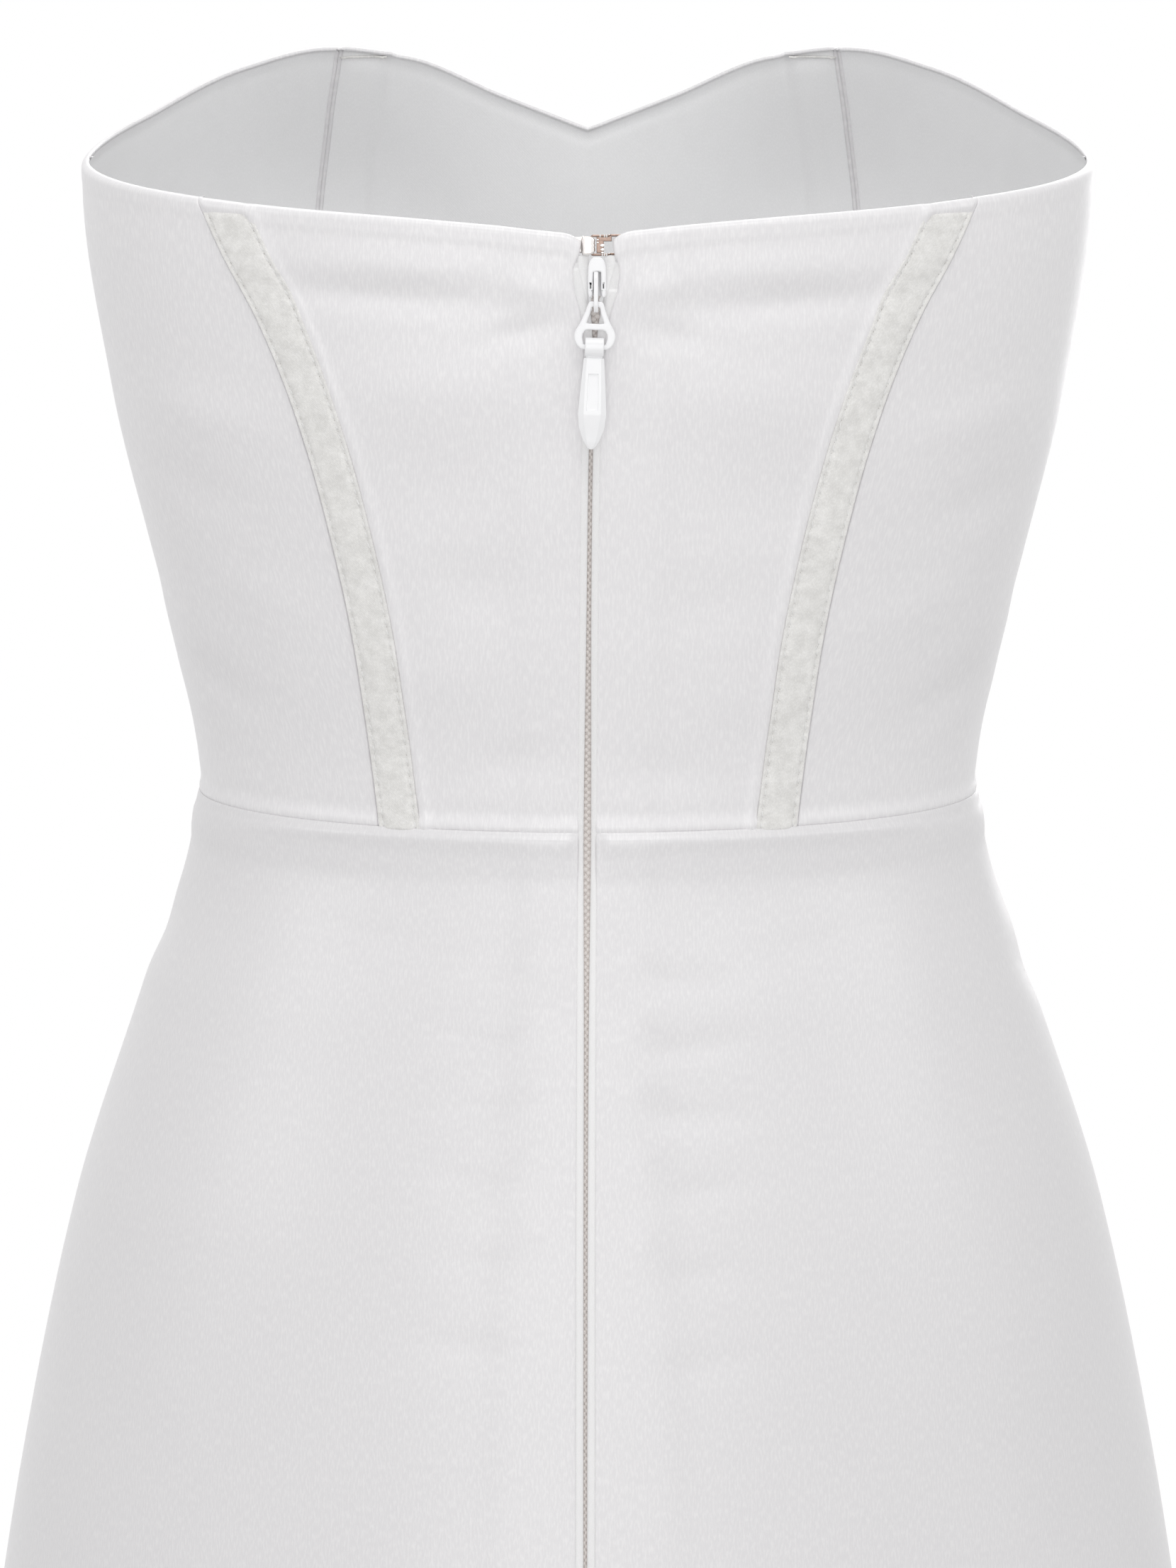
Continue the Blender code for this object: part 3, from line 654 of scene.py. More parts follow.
# %% [markdown]
# ## A sheet of cloth
# Every cloth piece starts as a flat grid from a bmesh operator. Its columns and rows are then laid on the
# form, closer together near the edges, where the cloth rolls over. The grid's own map in millimetres goes
# along, so that the weave keeps its size, and a Solidify modifier gives the cloth its thickness inwards.


# %% Helpers that lay a grid of cloth
def graded(count, crowding):
    """Places from 0 to 1 that crowd together near both ends."""
    t = np.linspace(0, 1, count + 1)
    return t - crowding * np.sin(2 * np.pi * t) / (2 * np.pi)


def swelling(at, middle, half_width):
    """A soft bump, 1 high."""
    return np.exp(-(((at - middle) / half_width) ** 2))


def rolled(distance, radius):
    """A quarter round: how far cloth has turned under at that distance from its folded edge."""
    t = np.clip(1 - distance / radius, 0, 1)
    return -radius * (1 - np.sqrt(1 - t * t))


def cloth_object(name, columns, rows, place, finish, thickness, inside=None):
    """Lays a grid: place(column, row) gives points and map places, in mm. Also returns its cut."""
    shape = bmesh.new()
    bmesh.ops.create_grid(shape, x_segments=columns, y_segments=rows, size=0.5)
    mesh = bpy.data.meshes.new(name)
    shape.to_mesh(mesh)
    shape.free()
    flat = np.zeros(len(mesh.vertices) * 3)
    mesh.vertices.foreach_get("co", flat)
    flat = flat.reshape(-1, 3)
    column = np.rint((flat[:, 0] + 0.5) * columns).astype(int)
    row = np.rint((flat[:, 1] + 0.5) * rows).astype(int)
    points, cloth = place(column, row)
    mesh.vertices.foreach_set("co", (points * MM).ravel())
    corners = np.zeros(len(mesh.loops), int)
    mesh.loops.foreach_get("vertex_index", corners)
    layer = mesh.uv_layers.new(name="cloth")
    layer.uv.foreach_set("vector", (cloth[corners] * MM).ravel())
    mesh.materials.append(finish)
    mesh.shade_smooth()
    obj = bpy.data.objects.new(name, mesh)
    bpy.context.scene.collection.objects.link(obj)
    wall = obj.modifiers.new("cloth wall", "SOLIDIFY")
    wall.thickness = thickness * MM
    wall.offset = -1
    if inside:
        mesh.materials.append(inside)
        wall.material_offset = 1

    grid = np.zeros((rows + 1, columns + 1, 3))
    grid[row, column] = points * MM
    width = np.linalg.norm(np.diff(grid, axis=1), axis=2).sum(1).max()
    length = np.linalg.norm(np.diff(grid, axis=0), axis=2).sum(0).max()
    area = sum(polygon.area for polygon in mesh.polygons)
    return obj, (float(width), float(length), float(area))


CUTS = {}


def declare(obj, body, node=None):
    """Puts a piece on its body, and hides the solid that it stands for, if one is given."""
    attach(obj, body)
    if node:
        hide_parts(node)


def declare_cloth(obj, cut, node):
    """What every cloth piece says of itself, with its cut."""
    width, length, area = cut
    declare(obj, "gown", node)
    area = min(area, width * length)
    CUTS[obj.name] = tuple(round(value / MM) for value in (width, length))


# %% [markdown]
# ## The bodice panels
# Seven panels of satin. At each seam the cloth rolls under and turns in, which leaves the fine dark line
# of a seam. The top edge is a soft fold, two millimetres round. Beside a casing the satin swells into a
# narrow roll, and beside the zip it lies on the folded allowance, so it stands a little proud there.

# %% Sizes of the bodice's small forms
SATIN_WALL = 1.2
SEAM_ROLL = 0.5
ZIP_ROLL = 0.6
TOP_ROLL = 2.1
TURN_IN = 0.9
CORNER_DROP = 1.9
CORNER_REACH = 6.5
LIP = 0.3
CASING_WIDTH = (
    # height, width
    (0, 12.6), (100, 12.6), (130, 12.9), (150, 13.6), (172, 14.4), (240, 14.6),
)
CASING_FROM_SEAM = 0.4
CASING_LIFT = 0.45
BESIDE_CASING = 1.1
BESIDE_SWELL = 0.75
OVER_END = 0.7
ALLOWANCE = 15.0
ALLOWANCE_PROUD = 0.45
TOP_BAND = 0.25
FOOT_SWELL = 0.5
FOOT_DIP = 0.15


def zip_allowance(angle, height):
    """The cloth beside the zip lies on the folded allowance and the tape."""
    beside = np.abs(angle_at(smooth_between(ZIP_LINE, height), height) - angle) * degree_mm(0.0, 0.0)
    fade = ease((height - ZIP_END + 30) / 40)
    return ALLOWANCE_PROUD * fade * (1 - ease((beside - ALLOWANCE) / 7))


def edge_form(kind, distance, height, below_top):
    """What the cloth does near an edge of that kind, in mm out."""
    if kind == "zip":
        return rolled(distance, ZIP_ROLL) + LIP * ease((height - 138) / 12) * swelling(distance, 1.6, 2.4)
    form_there = rolled(distance, SEAM_ROLL)
    if kind == "cased":
        past = distance - CASING_FROM_SEAM - smooth_between(CASING_WIDTH, height) - BESIDE_CASING
        # the satin of the top fold runs on over the casing's end
        over_end = (1 - ease((below_top - 2.2) / 2.6)) * (1 - ease((past + 1.1) / 3.0))
        form_there = form_there + BESIDE_SWELL * swelling(past, 0, 1.3)
        form_there = form_there + OVER_END * over_end * ease(distance / 2)
    return form_there


# %% What bodice and skirt panels share
def panel_shares(columns):
    """Places across a panel, with each edge twice, so that the cloth can turn in there."""
    return np.concatenate([[0], graded(columns, 0.9), [1]])


def between_edges(low, high, share, height):
    """The angle a share of the way from the low edge to the high one, and its distance to each, in mm."""
    start, end = low(height), high(height)
    from_low = share * (end - start) * degree_mm(start, height)
    to_high = (1 - share) * (end - start) * degree_mm(end, height)
    return start + (end - start) * share, from_low, to_high


def laid(angle, height, proud, grain):
    """The cloth's points, and its map measured from the angle where its threads hang straight."""
    cloth = np.stack([(angle - grain) * degree_mm(grain, height), height], axis=-1)
    return lifted(angle, height, proud), cloth


# %% A bodice panel
def bodice_cloth(name, low, high, columns, rows, low_kind, high_kind):
    """A panel between two edges, from the waist seam to the neckline."""
    shares = panel_shares(columns)
    climbs = np.concatenate([[0], graded(rows, 0.86)])
    foot = SEAM_GAP / 2
    by_zip = "zip" in (low_kind, high_kind)
    tops = neckline(low(NEAR_TOP) * (1 - shares) + high(NEAR_TOP) * shares)
    for _ in range(6):
        tops = neckline(low(tops) * (1 - shares) + high(tops) * shares)
    for kind, from_edge in ((low_kind, shares), (high_kind, 1 - shares)):
        if kind == "zip":
            reach = from_edge * abs(high(NEAR_TOP) - low(NEAR_TOP)) * degree_mm(0.0, NEAR_TOP)
            tops = tops - CORNER_DROP * (1 - np.clip(reach / CORNER_REACH, 0, 1)) ** 2.2

    def place(column, row):
        height = foot + (tops[column] - foot) * climbs[row]
        angle, from_low, to_high = between_edges(low, high, shares[column], height)
        below_top = tops[column] - height
        proud = creases(angle, height) * ease(below_top / 6) * ease((height - 1) / 8)
        proud = proud + edge_form(low_kind, from_low, height, below_top)
        proud = proud + edge_form(high_kind, to_high, height, below_top)
        if by_zip:
            proud = proud + zip_allowance(angle, height)
        proud = proud + rolled(below_top, TOP_ROLL) + TOP_BAND * (1 - ease((below_top - 4) / 3))
        proud = proud + FOOT_SWELL * swelling(height, 2.1, 1.8) - FOOT_DIP * swelling(height, 6.0, 2.2)
        proud = proud + 0.05 * rolled(height - 0.8, 1.0)
        proud = proud - np.where((column == 0) | (column == len(shares) - 1), TURN_IN, 0)
        proud = proud - np.where(row == 0, TURN_IN, 0)
        return laid(angle, height, proud, 0.0 if by_zip else float(low(90.0) + high(90.0)) / 2)

    return cloth_object(name, len(shares) - 1, len(climbs) - 1, place, BODICE_SATIN, SATIN_WALL, LINING)


PANELS = {}
for side, word in ((-1, "left"), (1, "right")):
    zip_side = (zip_edge(side), "zip")
    back_in = (seam(BACK_SEAM, side, -side), "cased")
    back_out = (seam(BACK_SEAM, side, side), "seam")
    side_back = (side_seam(side, -side), "seam")
    side_front = (side_seam(side, side), "seam")
    front_out = (seam(FRONT_SEAM, side, -side, front=True), "seam")
    for name, one, other, columns, rows in (
        ("back", zip_side, back_in, 84, 130),
        ("side_back", back_out, side_back, 64, 110),
        ("side_front", side_front, front_out, 64, 110),
    ):
        low, high = (one, other) if side > 0 else (other, one)
        node = f"{name}_{word}"
        PANELS[node] = bodice_cloth(f"satin_{node}", low[0], high[0], columns, rows, low[1], high[1])
front_edges = seam(FRONT_SEAM, 1, 1, front=True), whole_turn_on(seam(FRONT_SEAM, -1, -1, front=True))
PANELS["centre_front"] = bodice_cloth("satin_centre_front", *front_edges, 90, 110, "cased", "cased")
print("bodice panels:", sorted(PANELS))

# %% [markdown]
# ## The skirt panels
# The skirt's top edge rolls over the seam allowance and laps the bodice's foot by a hair. It catches the
# light as a bright welt, narrow at the centre back and broader towards the sides. The allowance, pressed
# down, prints a faint line eleven millimetres lower. The flutes start below the hip. The hem is turned up,
# which shows as a soft line above the fold.

# %% Sizes of the skirt's small forms
WELT_ABOVE = 1.0
WELT = (
    # below, proud
    (0, 0.0), (0.25, 0.34), (0.45, 0.5), (1.2, 0.92), (2.0, 1.5), (2.7, 1.68), (3.5, 1.62), (5.5, 1.25),
    (9.0, 0.68), (13.0, 0.28), (18.0, 0.0),
)
WELT_WIDTH = (
    # degrees from the centre back, or from the centre front, times as wide
    (0, 1.0), (32, 1.0), (49, 1.25), (66, 2.4), (90, 2.8),
)
IMPRINT_BELOW = 11.0
DOUBLE_CLOTH = 0.5
HEM_TURN = 22.0
FINE_LEVELS = np.array([0, 0.12, 0.3, 0.55, 0.85, 1.2, 1.6, 2.0, 2.4, 2.8, 3.3, 3.9, 4.7, 5.7, 6.9])
LEVELS_SHOWN = np.concatenate([FINE_LEVELS, np.arange(8.4, 236, 2.0)])
LEVELS_BELOW = np.concatenate([np.arange(238, 1074, 9.0), [1076, 1079, 1083, 1091, 1097, 1099.4, 1100.3]])
HEM_LEVEL = 1100.75


# %% A skirt panel
def skirt_cloth(name, low, high, columns, zip_at=None):
    """A panel from the waist seam to the hem. zip_at says which edge the zip is on."""
    shares = panel_shares(columns)
    heights = WELT_ABOVE - np.concatenate([LEVELS_SHOWN, LEVELS_BELOW, [HEM_LEVEL]])[::-1]

    def place(column, row):
        height = heights[row]
        below = WELT_ABOVE - height
        angle, from_low, to_high = between_edges(low, high, shares[column], height)
        proud = creases(angle, height) * ease((below - 3) / 12)
        for edge, distance in (("low", from_low), ("high", to_high)):
            proud = proud + rolled(distance, ZIP_ROLL if edge == zip_at else SEAM_ROLL)
        if zip_at:
            proud = proud + zip_allowance(angle, height) * ease(below / 6)
        # the welt is broader at the sides and lower beside the zip
        wide = smooth_between(WELT_WIDTH, np.abs((angle + 90) % 180 - 90))
        beside_zip = to_high if zip_at == "high" else from_low if zip_at else 10
        proud = proud + smooth_between(WELT, below / wide) * (0.4 + 0.6 * ease(beside_zip / 4))
        proud = proud + DOUBLE_CLOTH * (1 - ease((below - IMPRINT_BELOW) / 3.2))
        above_hem = height - HEM
        proud = proud + DOUBLE_CLOTH * (1 - ease((above_hem - HEM_TURN) / 3)) + rolled(above_hem, 1.2)
        proud = proud - np.where((column == 0) | (column == len(shares) - 1), TURN_IN, 0)
        return laid(angle, height, proud, 0.0 if zip_at else 180.0)

    return cloth_object(name, len(shares) - 1, len(heights) - 1, place, SKIRT_SATIN, SATIN_WALL)


PANELS["skirt_back_left"] = skirt_cloth("satin_skirt_back_left", side_seam(-1, 1), zip_edge(-1), 76, "high")
PANELS["skirt_back_right"] = skirt_cloth("satin_skirt_back_right", zip_edge(1), side_seam(1, -1), 76, "low")
front_edges = side_seam(1, 1), whole_turn_on(side_seam(-1, -1))
PANELS["skirt_front"] = skirt_cloth("satin_skirt_front", *front_edges, 110)
for node, (obj, cut) in PANELS.items():
    above = [f"satin_{n}" for n in PANELS if not n.startswith("skirt")]
    declare_cloth(obj, cut, node)
print("skirt panels:", sum(node.startswith("skirt") for node in PANELS))

# %% [markdown]
# ## Boning casings
# A casing is a woven tape, 13 mm wide, stitched down along both edges over a bone. The bone fills the
# middle, and each row of stitches pulls the tape down into a narrow channel and puckers it. Its upper end
# is caught under the fold of the top edge, and its foot in the waist seam. The two at the front are alike.

# %% Sizes of a casing
CASING_WALL = 0.7
CASING_GRID = (34, 340)
CASING_PROUD = 0.4
CHANNEL_IN = 1.45
CHANNEL_DEPTH = 0.42
CHANNEL_HALF = 0.42
BONE_RISE = 0.38
CASING_SHORT_OF_EDGE = 2.2
STITCH_PITCH = 3.1
STITCH_LENGTH = 2.25
STITCH_RADIUS = 0.21
STITCH_SLANT = 11.0
FIRST_STITCH = 2.0
STITCHES_END = 1.5
PUCKER_DEPTH = 0.09
PUCKER_HALF = 1.3
HOLE_SHADE_DEPTH = 0.3
HOLE_SHADE_SIZE = (0.3, 0.5, 0.18)


# %% The casing's surface
def casing_surface(seam_angle, towards):
    """A function that gives the angle and the distance out for a place across and up the casing."""

    def surface(across, height):
        width = smooth_between(CASING_WIDTH, height)
        angle = seam_angle(height)
        drift = (seam_angle(height + 1) - seam_angle(height - 1)) / 2 * degree_mm(angle, height)
        out = (CASING_FROM_SEAM + across) * np.hypot(1, drift)
        there = angle + towards * out / degree_mm(angle + towards * 3, height)
        lines = (CHANNEL_IN, width - CHANNEL_IN)
        channels = sum(swelling(across, line, CHANNEL_HALF) for line in lines)
        pinched = sum(swelling(across, line, PUCKER_HALF) for line in lines)
        pucker = PUCKER_DEPTH * pinched * np.cos(2 * np.pi * (height - FIRST_STITCH) / STITCH_PITCH)
        from_middle = (across - width / 2) / (width / 2 - CHANNEL_IN)
        bone = np.clip(1 - from_middle**4, 0, 1)
        uneven = 0.07 * np.sin(height / 2.9 + across / 3) + 0.08 * np.sin(height / 7.3 + 1) * bone
        raised = CASING_LIFT + CASING_PROUD + BONE_RISE * bone
        proud = raised - CHANNEL_DEPTH * channels + uneven * bone + pucker
        return there, proud + creases(there, height) * ease(height / 8)

    return surface


def casing_cloth(name, surface, towards, top):
    columns, rows = CASING_GRID
    shares = graded(columns, 0.5)
    foot = SEAM_GAP / 2
    heights = foot + (top - foot) * graded(rows, 0.5)

    def place(column, row):
        height = heights[row]
        width = smooth_between(CASING_WIDTH, height)
        across = width * shares[column if towards > 0 else columns - column]
        angle, proud = surface(across, height)
        proud = proud + rolled(across, 0.45) + rolled(width - across, 0.45)
        proud = proud + rolled(height - foot, 1.0) + 1.1 * rolled(top - height, 2.0)
        return lifted(angle, height, proud), np.stack([across, height], axis=-1)

    return cloth_object(name, columns, rows, place, CASING_TAPE, CASING_WALL)


# %% [markdown]
# ## Stitches
# Hundreds of stitches are small, so each is a rounded bead of a few faces, pulled long and set at a
# slight slant in the channel, as a sewing machine leaves them. Between two stitches the shade in the needle's
# hole is painted as a dark speck: a small dark bead sunk into the tape. One mesh holds a whole casing's
# stitches.


# %% Stitches along a casing
def bead(shape, centre, aside, up, sizes, segments=(6, 5)):
    """A squashed ball: half sizes aside, up and out, in mm."""
    out = aside.cross(up).normalized()
    axes = Matrix((aside.normalized(), up.normalized(), out)).transposed().to_4x4()
    placed = Matrix.Diagonal((MM, MM, MM, 1)) @ Matrix.Translation(centre) @ axes
    matrix = placed @ Matrix.Diagonal((*sizes, 1))
    bmesh.ops.create_uvsphere(shape, u_segments=segments[0], v_segments=segments[1], radius=1, matrix=matrix)


def stitch_object(name, surface, top):
    shape = bmesh.new()
    holes = []
    for inner in (False, True):
        for height in np.arange(FIRST_STITCH, top - STITCHES_END, STITCH_PITCH):
            ends = np.array([height - 0.5, height + 0.5])
            line = smooth_between(CASING_WIDTH, ends) - CHANNEL_IN if inner else CHANNEL_IN
            angle, proud = surface(line + 0 * ends, ends)
            low, high = (Vector(point) for point in lifted(angle, ends, proud + STITCH_RADIUS * 0.35))
            out = Vector(outward(angle[0], ends[0]))
            along = Matrix.Rotation(math.radians(STITCH_SLANT), 3, out) @ (high - low).normalized()
            aside = along.cross(out).normalized()
            size = (STITCH_RADIUS, STITCH_LENGTH / 2, STITCH_RADIUS)
            bead(shape, (low + high) / 2, aside, along, size)
            hole = low + (high - low) * (0.5 + STITCH_PITCH / 2) - out * HOLE_SHADE_DEPTH
            holes.append((hole, aside, along))
    threads = len(shape.faces)
    # painted shade: a small dark bead sunk at each needle hole, on the second material
    for hole, aside, along in holes:
        bead(shape, hole, aside, along, HOLE_SHADE_SIZE)
    shape.faces.ensure_lookup_table()
    for face in shape.faces[threads:]:
        face.material_index = 1
    obj = finished(shape, name, THREAD)
    obj.data.materials.append(NEEDLE_HOLE_SHADE)
    return obj, len(holes)


stitch_total = 0
for side, word in ((-1, "left"), (1, "right")):
    for part, rows, towards, front in (("back", BACK_SEAM, -side, False), ("front", FRONT_SEAM, side, True)):
        edge = seam(rows, side, 0, front)
        surface = casing_surface(edge, towards)
        lowest = min(neckline(edge(NEAR_TOP) + towards * offset) for offset in (0, 6))
        top = float(lowest) - CASING_SHORT_OF_EDGE
        node = f"casing_{part}_{word}"
        tape_piece, cut = casing_cloth(f"tape_{node}", surface, towards, top)
        thread_piece, count = stitch_object(f"stitches_{node}", surface, top)
        stitch_total += count
        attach(thread_piece, "gown")
        under = "satin_centre_front" if front else f"satin_back_{word}"
        declare_cloth(tape_piece, cut, node)
print("stitches:", stitch_total)

# %% [markdown]
# ## The zip's tapes
# An invisible zip hides its teeth behind two rolled edges of woven tape that meet along the gap. Each
# tape is a strip with a cross-section: a flat wing inside the gown, up under the satin's edge, over in a
# narrow roll, and down into the gap. Fine ribs cross the roll, so every second row of the grid is a
# little lower. Beside the slider the rolls part and end in square cuts, the right one lower down.

# %% Sizes of the tapes
ZIP_GAP = (
    # height, half_width
    (-238, 0.5), (-80, 0.58), (-50, 0.68), (-18, 0.92), (0, 1.03), (26, 0.9), (60, 0.64), (106, 0.56),
    (139, 0.6), (145, 0.8), (148.5, 1.4), (152, 2.4), (155.4, 3.3), (158, 3.9), (163, 5.2),
)
TAPE_TOP = 165.4
TAPE_BOTTOM = -238.0
TAPE_REACH = 11.0
TAPE_WALL = 0.5
TAPE_FLOOR = -2.2
TAPE_PROUD = 0.5
ROLL_ENDS = {-1: 161.6, 1: 155.6}
ROLL_END_LEVEL = 0.0
UNDER_SATIN = 0.9
RIB_PITCH = 0.66
RIB_DEPTH = 0.15


def zip_point(across, height, proud):
    angle = angle_at(smooth_between(ZIP_LINE, height) + across, height)
    return lifted(angle, height, proud)


# %% A tape with its ribbed roll
def tape_cloth(name, side):
    rows = 2 * round((TAPE_TOP - TAPE_BOTTOM) / RIB_PITCH)
    heights = np.linspace(TAPE_BOTTOM, TAPE_TOP, rows + 1)
    gap = smooth_between(ZIP_GAP, heights)
    edge = smooth_between(BACK_OPENING, heights) + UNDER_SATIN
    up = ease((heights - 148) / 6)
    section = (
        # out, proud, share of the rib
        (TAPE_REACH, TAPE_FLOOR, 0),
        (edge + 0.6, TAPE_FLOOR, 0),
        (edge, -1.7, 0),
        (edge, -0.45, 0.4),
        (edge - 0.3, -0.05, 0.8),
        (edge - 0.7, 0.34, 1),
        ((gap + edge - 0.6) / 2, TAPE_PROUD, 1),
        (gap + 0.45, 0.3, 1),
        (gap + 0.12, -0.1 + 0.2 * up, 1),
        (gap, -0.7 + 0.75 * up, 0.4),
        (gap + 0.05 - 0.15 * up, -1.4 + 1.4 * up, 0),
        (np.minimum(gap, 0.9 + 1.2 * up), -2.1 + 2.0 * up, 0),
    )
    outs, prouds, shares = (np.array([row[column] + 0 * heights for row in section]) for column in range(3))
    last = len(section) - 1

    def place(column, row):
        turn = column if side < 0 else last - column
        proud = prouds[turn, row]
        proud = np.where(heights[row] > ROLL_ENDS[side], np.minimum(proud, ROLL_END_LEVEL), proud)
        proud = proud - np.where(row % 2 == 0, RIB_DEPTH, 0) * shares[turn, row]
        points = zip_point(side * outs[turn, row], heights[row], proud)
        return points, np.stack([turn * 1.0, heights[row]], axis=-1)

    tape_piece, (width, _, area) = cloth_object(name, last, rows, place, ZIP_TAPE, TAPE_WALL)
    plain_edge = zip_point(side * TAPE_REACH, heights, TAPE_FLOOR)
    length = float(np.linalg.norm(np.diff(plain_edge, axis=0), axis=1).sum()) * MM
    return tape_piece, (width, length, area)


for side, word in ((-1, "left"), (1, "right")):
    tape_piece, cut = tape_cloth(f"woven_tape_{word}", side)
    declare_cloth(tape_piece, cut, f"zip_tape_{word}")
print("ribs:", round((TAPE_TOP - TAPE_BOTTOM) / RIB_PITCH))

# %% [markdown]
# ## The closed chain
# In the gap the two halves of a nylon coil lock together: flattened loops from the left and right in
# turn, each a squashed ball that reaches past the middle. A cord runs behind them.

# %% The coil
TOOTH_PITCH = 1.89
COIL_TOP = 154.6
COIL_BOTTOM = -237.0
COIL_PROUD = -1.85
TOOTH_FROM_MIDDLE = 0.42
TOOTH_HALF_HEIGHT = 0.86
TOOTH_HALF_DEPTH = 0.55
CORD_WALL = 0.3
CORD_PROUD = -1.8
CORD_ROWS = 160

shape = bmesh.new()
teeth = int((COIL_TOP - COIL_BOTTOM) / TOOTH_PITCH)
for side in (-1, 1):
    tooth_heights = COIL_BOTTOM + TOOTH_PITCH * (np.arange(teeth) + (0.25 if side < 0 else 0.75))
    half_gaps = np.minimum(smooth_between(ZIP_GAP, tooth_heights), 1.1)
    centres = zip_point(side * half_gaps * TOOTH_FROM_MIDDLE, tooth_heights, COIL_PROUD)
    for centre, half_gap in zip(centres, half_gaps):
        size = (half_gap * 0.85 + 0.12, TOOTH_HALF_HEIGHT, TOOTH_HALF_DEPTH)
        bead(shape, Vector(centre), Vector((1, 0, 0)), Vector((0, 0, 1)), size)
declare(finished(shape, "coil_teeth", COIL_NYLON), "gown", "zip_coil")


def cord_place(column, row):
    height = np.linspace(COIL_BOTTOM, COIL_TOP, CORD_ROWS + 1)[row]
    half_width = smooth_between(ZIP_GAP, np.minimum(height, 146)) + 0.1
    across = np.array([-1.0, -0.6, 0.0, 0.6, 1.0])[column] * half_width
    return zip_point(across, height, np.full_like(across, CORD_PROUD)), np.stack([across, height], axis=-1)


core_piece, _ = cloth_object("coil_core", 4, CORD_ROWS, cord_place, COIL_CORD, CORD_WALL)
declare(core_piece, "gown")
print("teeth:", 2 * teeth)

# %% [markdown]
# ## Plates with rounded edges
# The slider, the ring and the pull's loop are all cast pieces with flat outlines and soft edges. A flat
# curve does this well: outer and inner outlines are filled, given a thickness and a round bevel, then
# turned into a mesh and merged into one closed shell.


# %% Helper that casts a plate
def softened(points, steps=4):
    """A smooth closed curve through the points."""
    points = [Vector(point) for point in points]
    curve = []
    for i in range(len(points)):
        before, start, end, after = (points[(i + k) % len(points)] for k in (-1, 0, 1, 2))
        for step in range(steps):
            t = step / steps
            bend = (2 * before - 5 * start + 4 * end - after) * t**2
            swing = (3 * start - before - 3 * end + after) * t**3
            curve.append(0.5 * (2 * start + (end - before) * t + bend + swing))
    return curve


def mirrored(half):
    """A closed outline from its right half, which starts and ends on the centre line."""
    return list(half) + [(-a, b) for a, b in reversed(half[1:-1])]


def arc(centre, radius, start, end, steps, squash=1.0):
    points = []
    for i in range(steps + 1):
        turn = math.radians(start + (end - start) * i / steps)
        points.append((centre[0] + squash * radius * math.cos(turn), centre[1] + radius * math.sin(turn)))
    return points


def new_curve(lines, flat, thickness):
    """A curve through each line's points, in mm, with a round bevel: flat and closed, or an open wire."""
    curve = bpy.data.curves.new("line", "CURVE")
    curve.dimensions = "2D" if flat else "3D"
    curve.bevel_depth = thickness * MM
    curve.bevel_resolution = 3
    for points in lines:
        spline = curve.splines.new("POLY")
        spline.points.add(len(points) - 1)
        for point, place in zip(spline.points, points):
            point.co = (*(Vector(place).to_3d() * MM), 1)
        spline.use_cyclic_u = flat
    return curve


def shell_of(curve, to_place=Matrix()):
    """The curve's shape as one closed bmesh."""
    holder = bpy.data.objects.new("line", curve)
    mesh = bpy.data.meshes.new_from_object(holder)
    bpy.data.objects.remove(holder)
    bpy.data.curves.remove(curve)
    mesh.transform(to_place)
    shape = bmesh.new()
    shape.from_mesh(mesh)
    bpy.data.meshes.remove(mesh)
    bmesh.ops.remove_doubles(shape, verts=shape.verts, dist=1e-6)
    bmesh.ops.recalc_face_normals(shape, faces=shape.faces)
    return shape


def plate(outlines, low, high, edge, to_place):
    """A shell from filled outlines in mm, between two heights of its own, with rounded edges."""
    curve = new_curve(outlines, True, edge)
    curve.fill_mode = "BOTH"
    curve.extrude = ((high - low) / 2 - edge) * MM
    curve.offset = -edge * MM
    return shell_of(curve, to_place @ Matrix.Translation((0, 0, (low + high) / 2 * MM)))


def soften_edges(obj, width, segments, angle):
    """A Bevel modifier on the edges sharper than that angle."""
    bevel = obj.modifiers.new("soft edges", "BEVEL")
    bevel.width = width * MM
    bevel.segments = segments
    bevel.limit_method = "ANGLE"
    bevel.angle_limit = math.radians(angle)


def joined(shapes):
    """One bmesh that holds several closed shells."""
    whole = bmesh.new()
    for shape in shapes:
        mesh = bpy.data.meshes.new("part")
        shape.to_mesh(mesh)
        shape.free()
        whole.from_mesh(mesh)
        bpy.data.meshes.remove(mesh)
    return whole


# %% [markdown]
# ## The slider
# Its front is a hood with two legs and a slot between them. The bail stands upright in the slot and holds
# the ring. Small slits in the legs are the openings that let the lacquer drain when the slider is dipped.

# %% Sizes of the slider
SLIDER_ACROSS = 2.5
SLIDER_HEIGHT = 159.3
# each plate: back, front, edge radius
FRONT_PLATE = (-0.8, 1.75, 0.42)
FLOOR_PLATE = (-2.5, -0.9, 0.35)
BAIL_PLATE = (-0.62, 0.62, 0.28)
BAIL_RADIUS = 2.3
BAIL_HOLE = 1.3
HINGE_ACROSS = 2.2
HINGE_HEIGHT = 152.0
HINGE_PROUD = 2.4
SLIDER_HALF = (
    # out, up
    (0.0, 5.6), (1.1, 5.5), (1.85, 4.9), (2.3, 3.7), (2.5, 2.0), (2.55, -1.5), (2.5, -4.0), (2.3, -5.1),
    (1.85, -5.5), (1.4, -5.1), (1.2, -4.2), (1.1, -2.0), (1.05, 0.8), (0.95, 1.55), (0.0, 1.75),
)
FLOOR_HALF_OUTLINE = (
    # out, up
    (0.0, 5.2), (1.7, 4.6), (2.3, 2.5), (2.4, -2.5), (2.2, -4.6), (1.2, -5.2), (0.0, -5.2),
)
LEG_SLIT = ((1.62, -1.7), (1.92, -1.7), (1.92, -3.0), (1.62, -3.0))

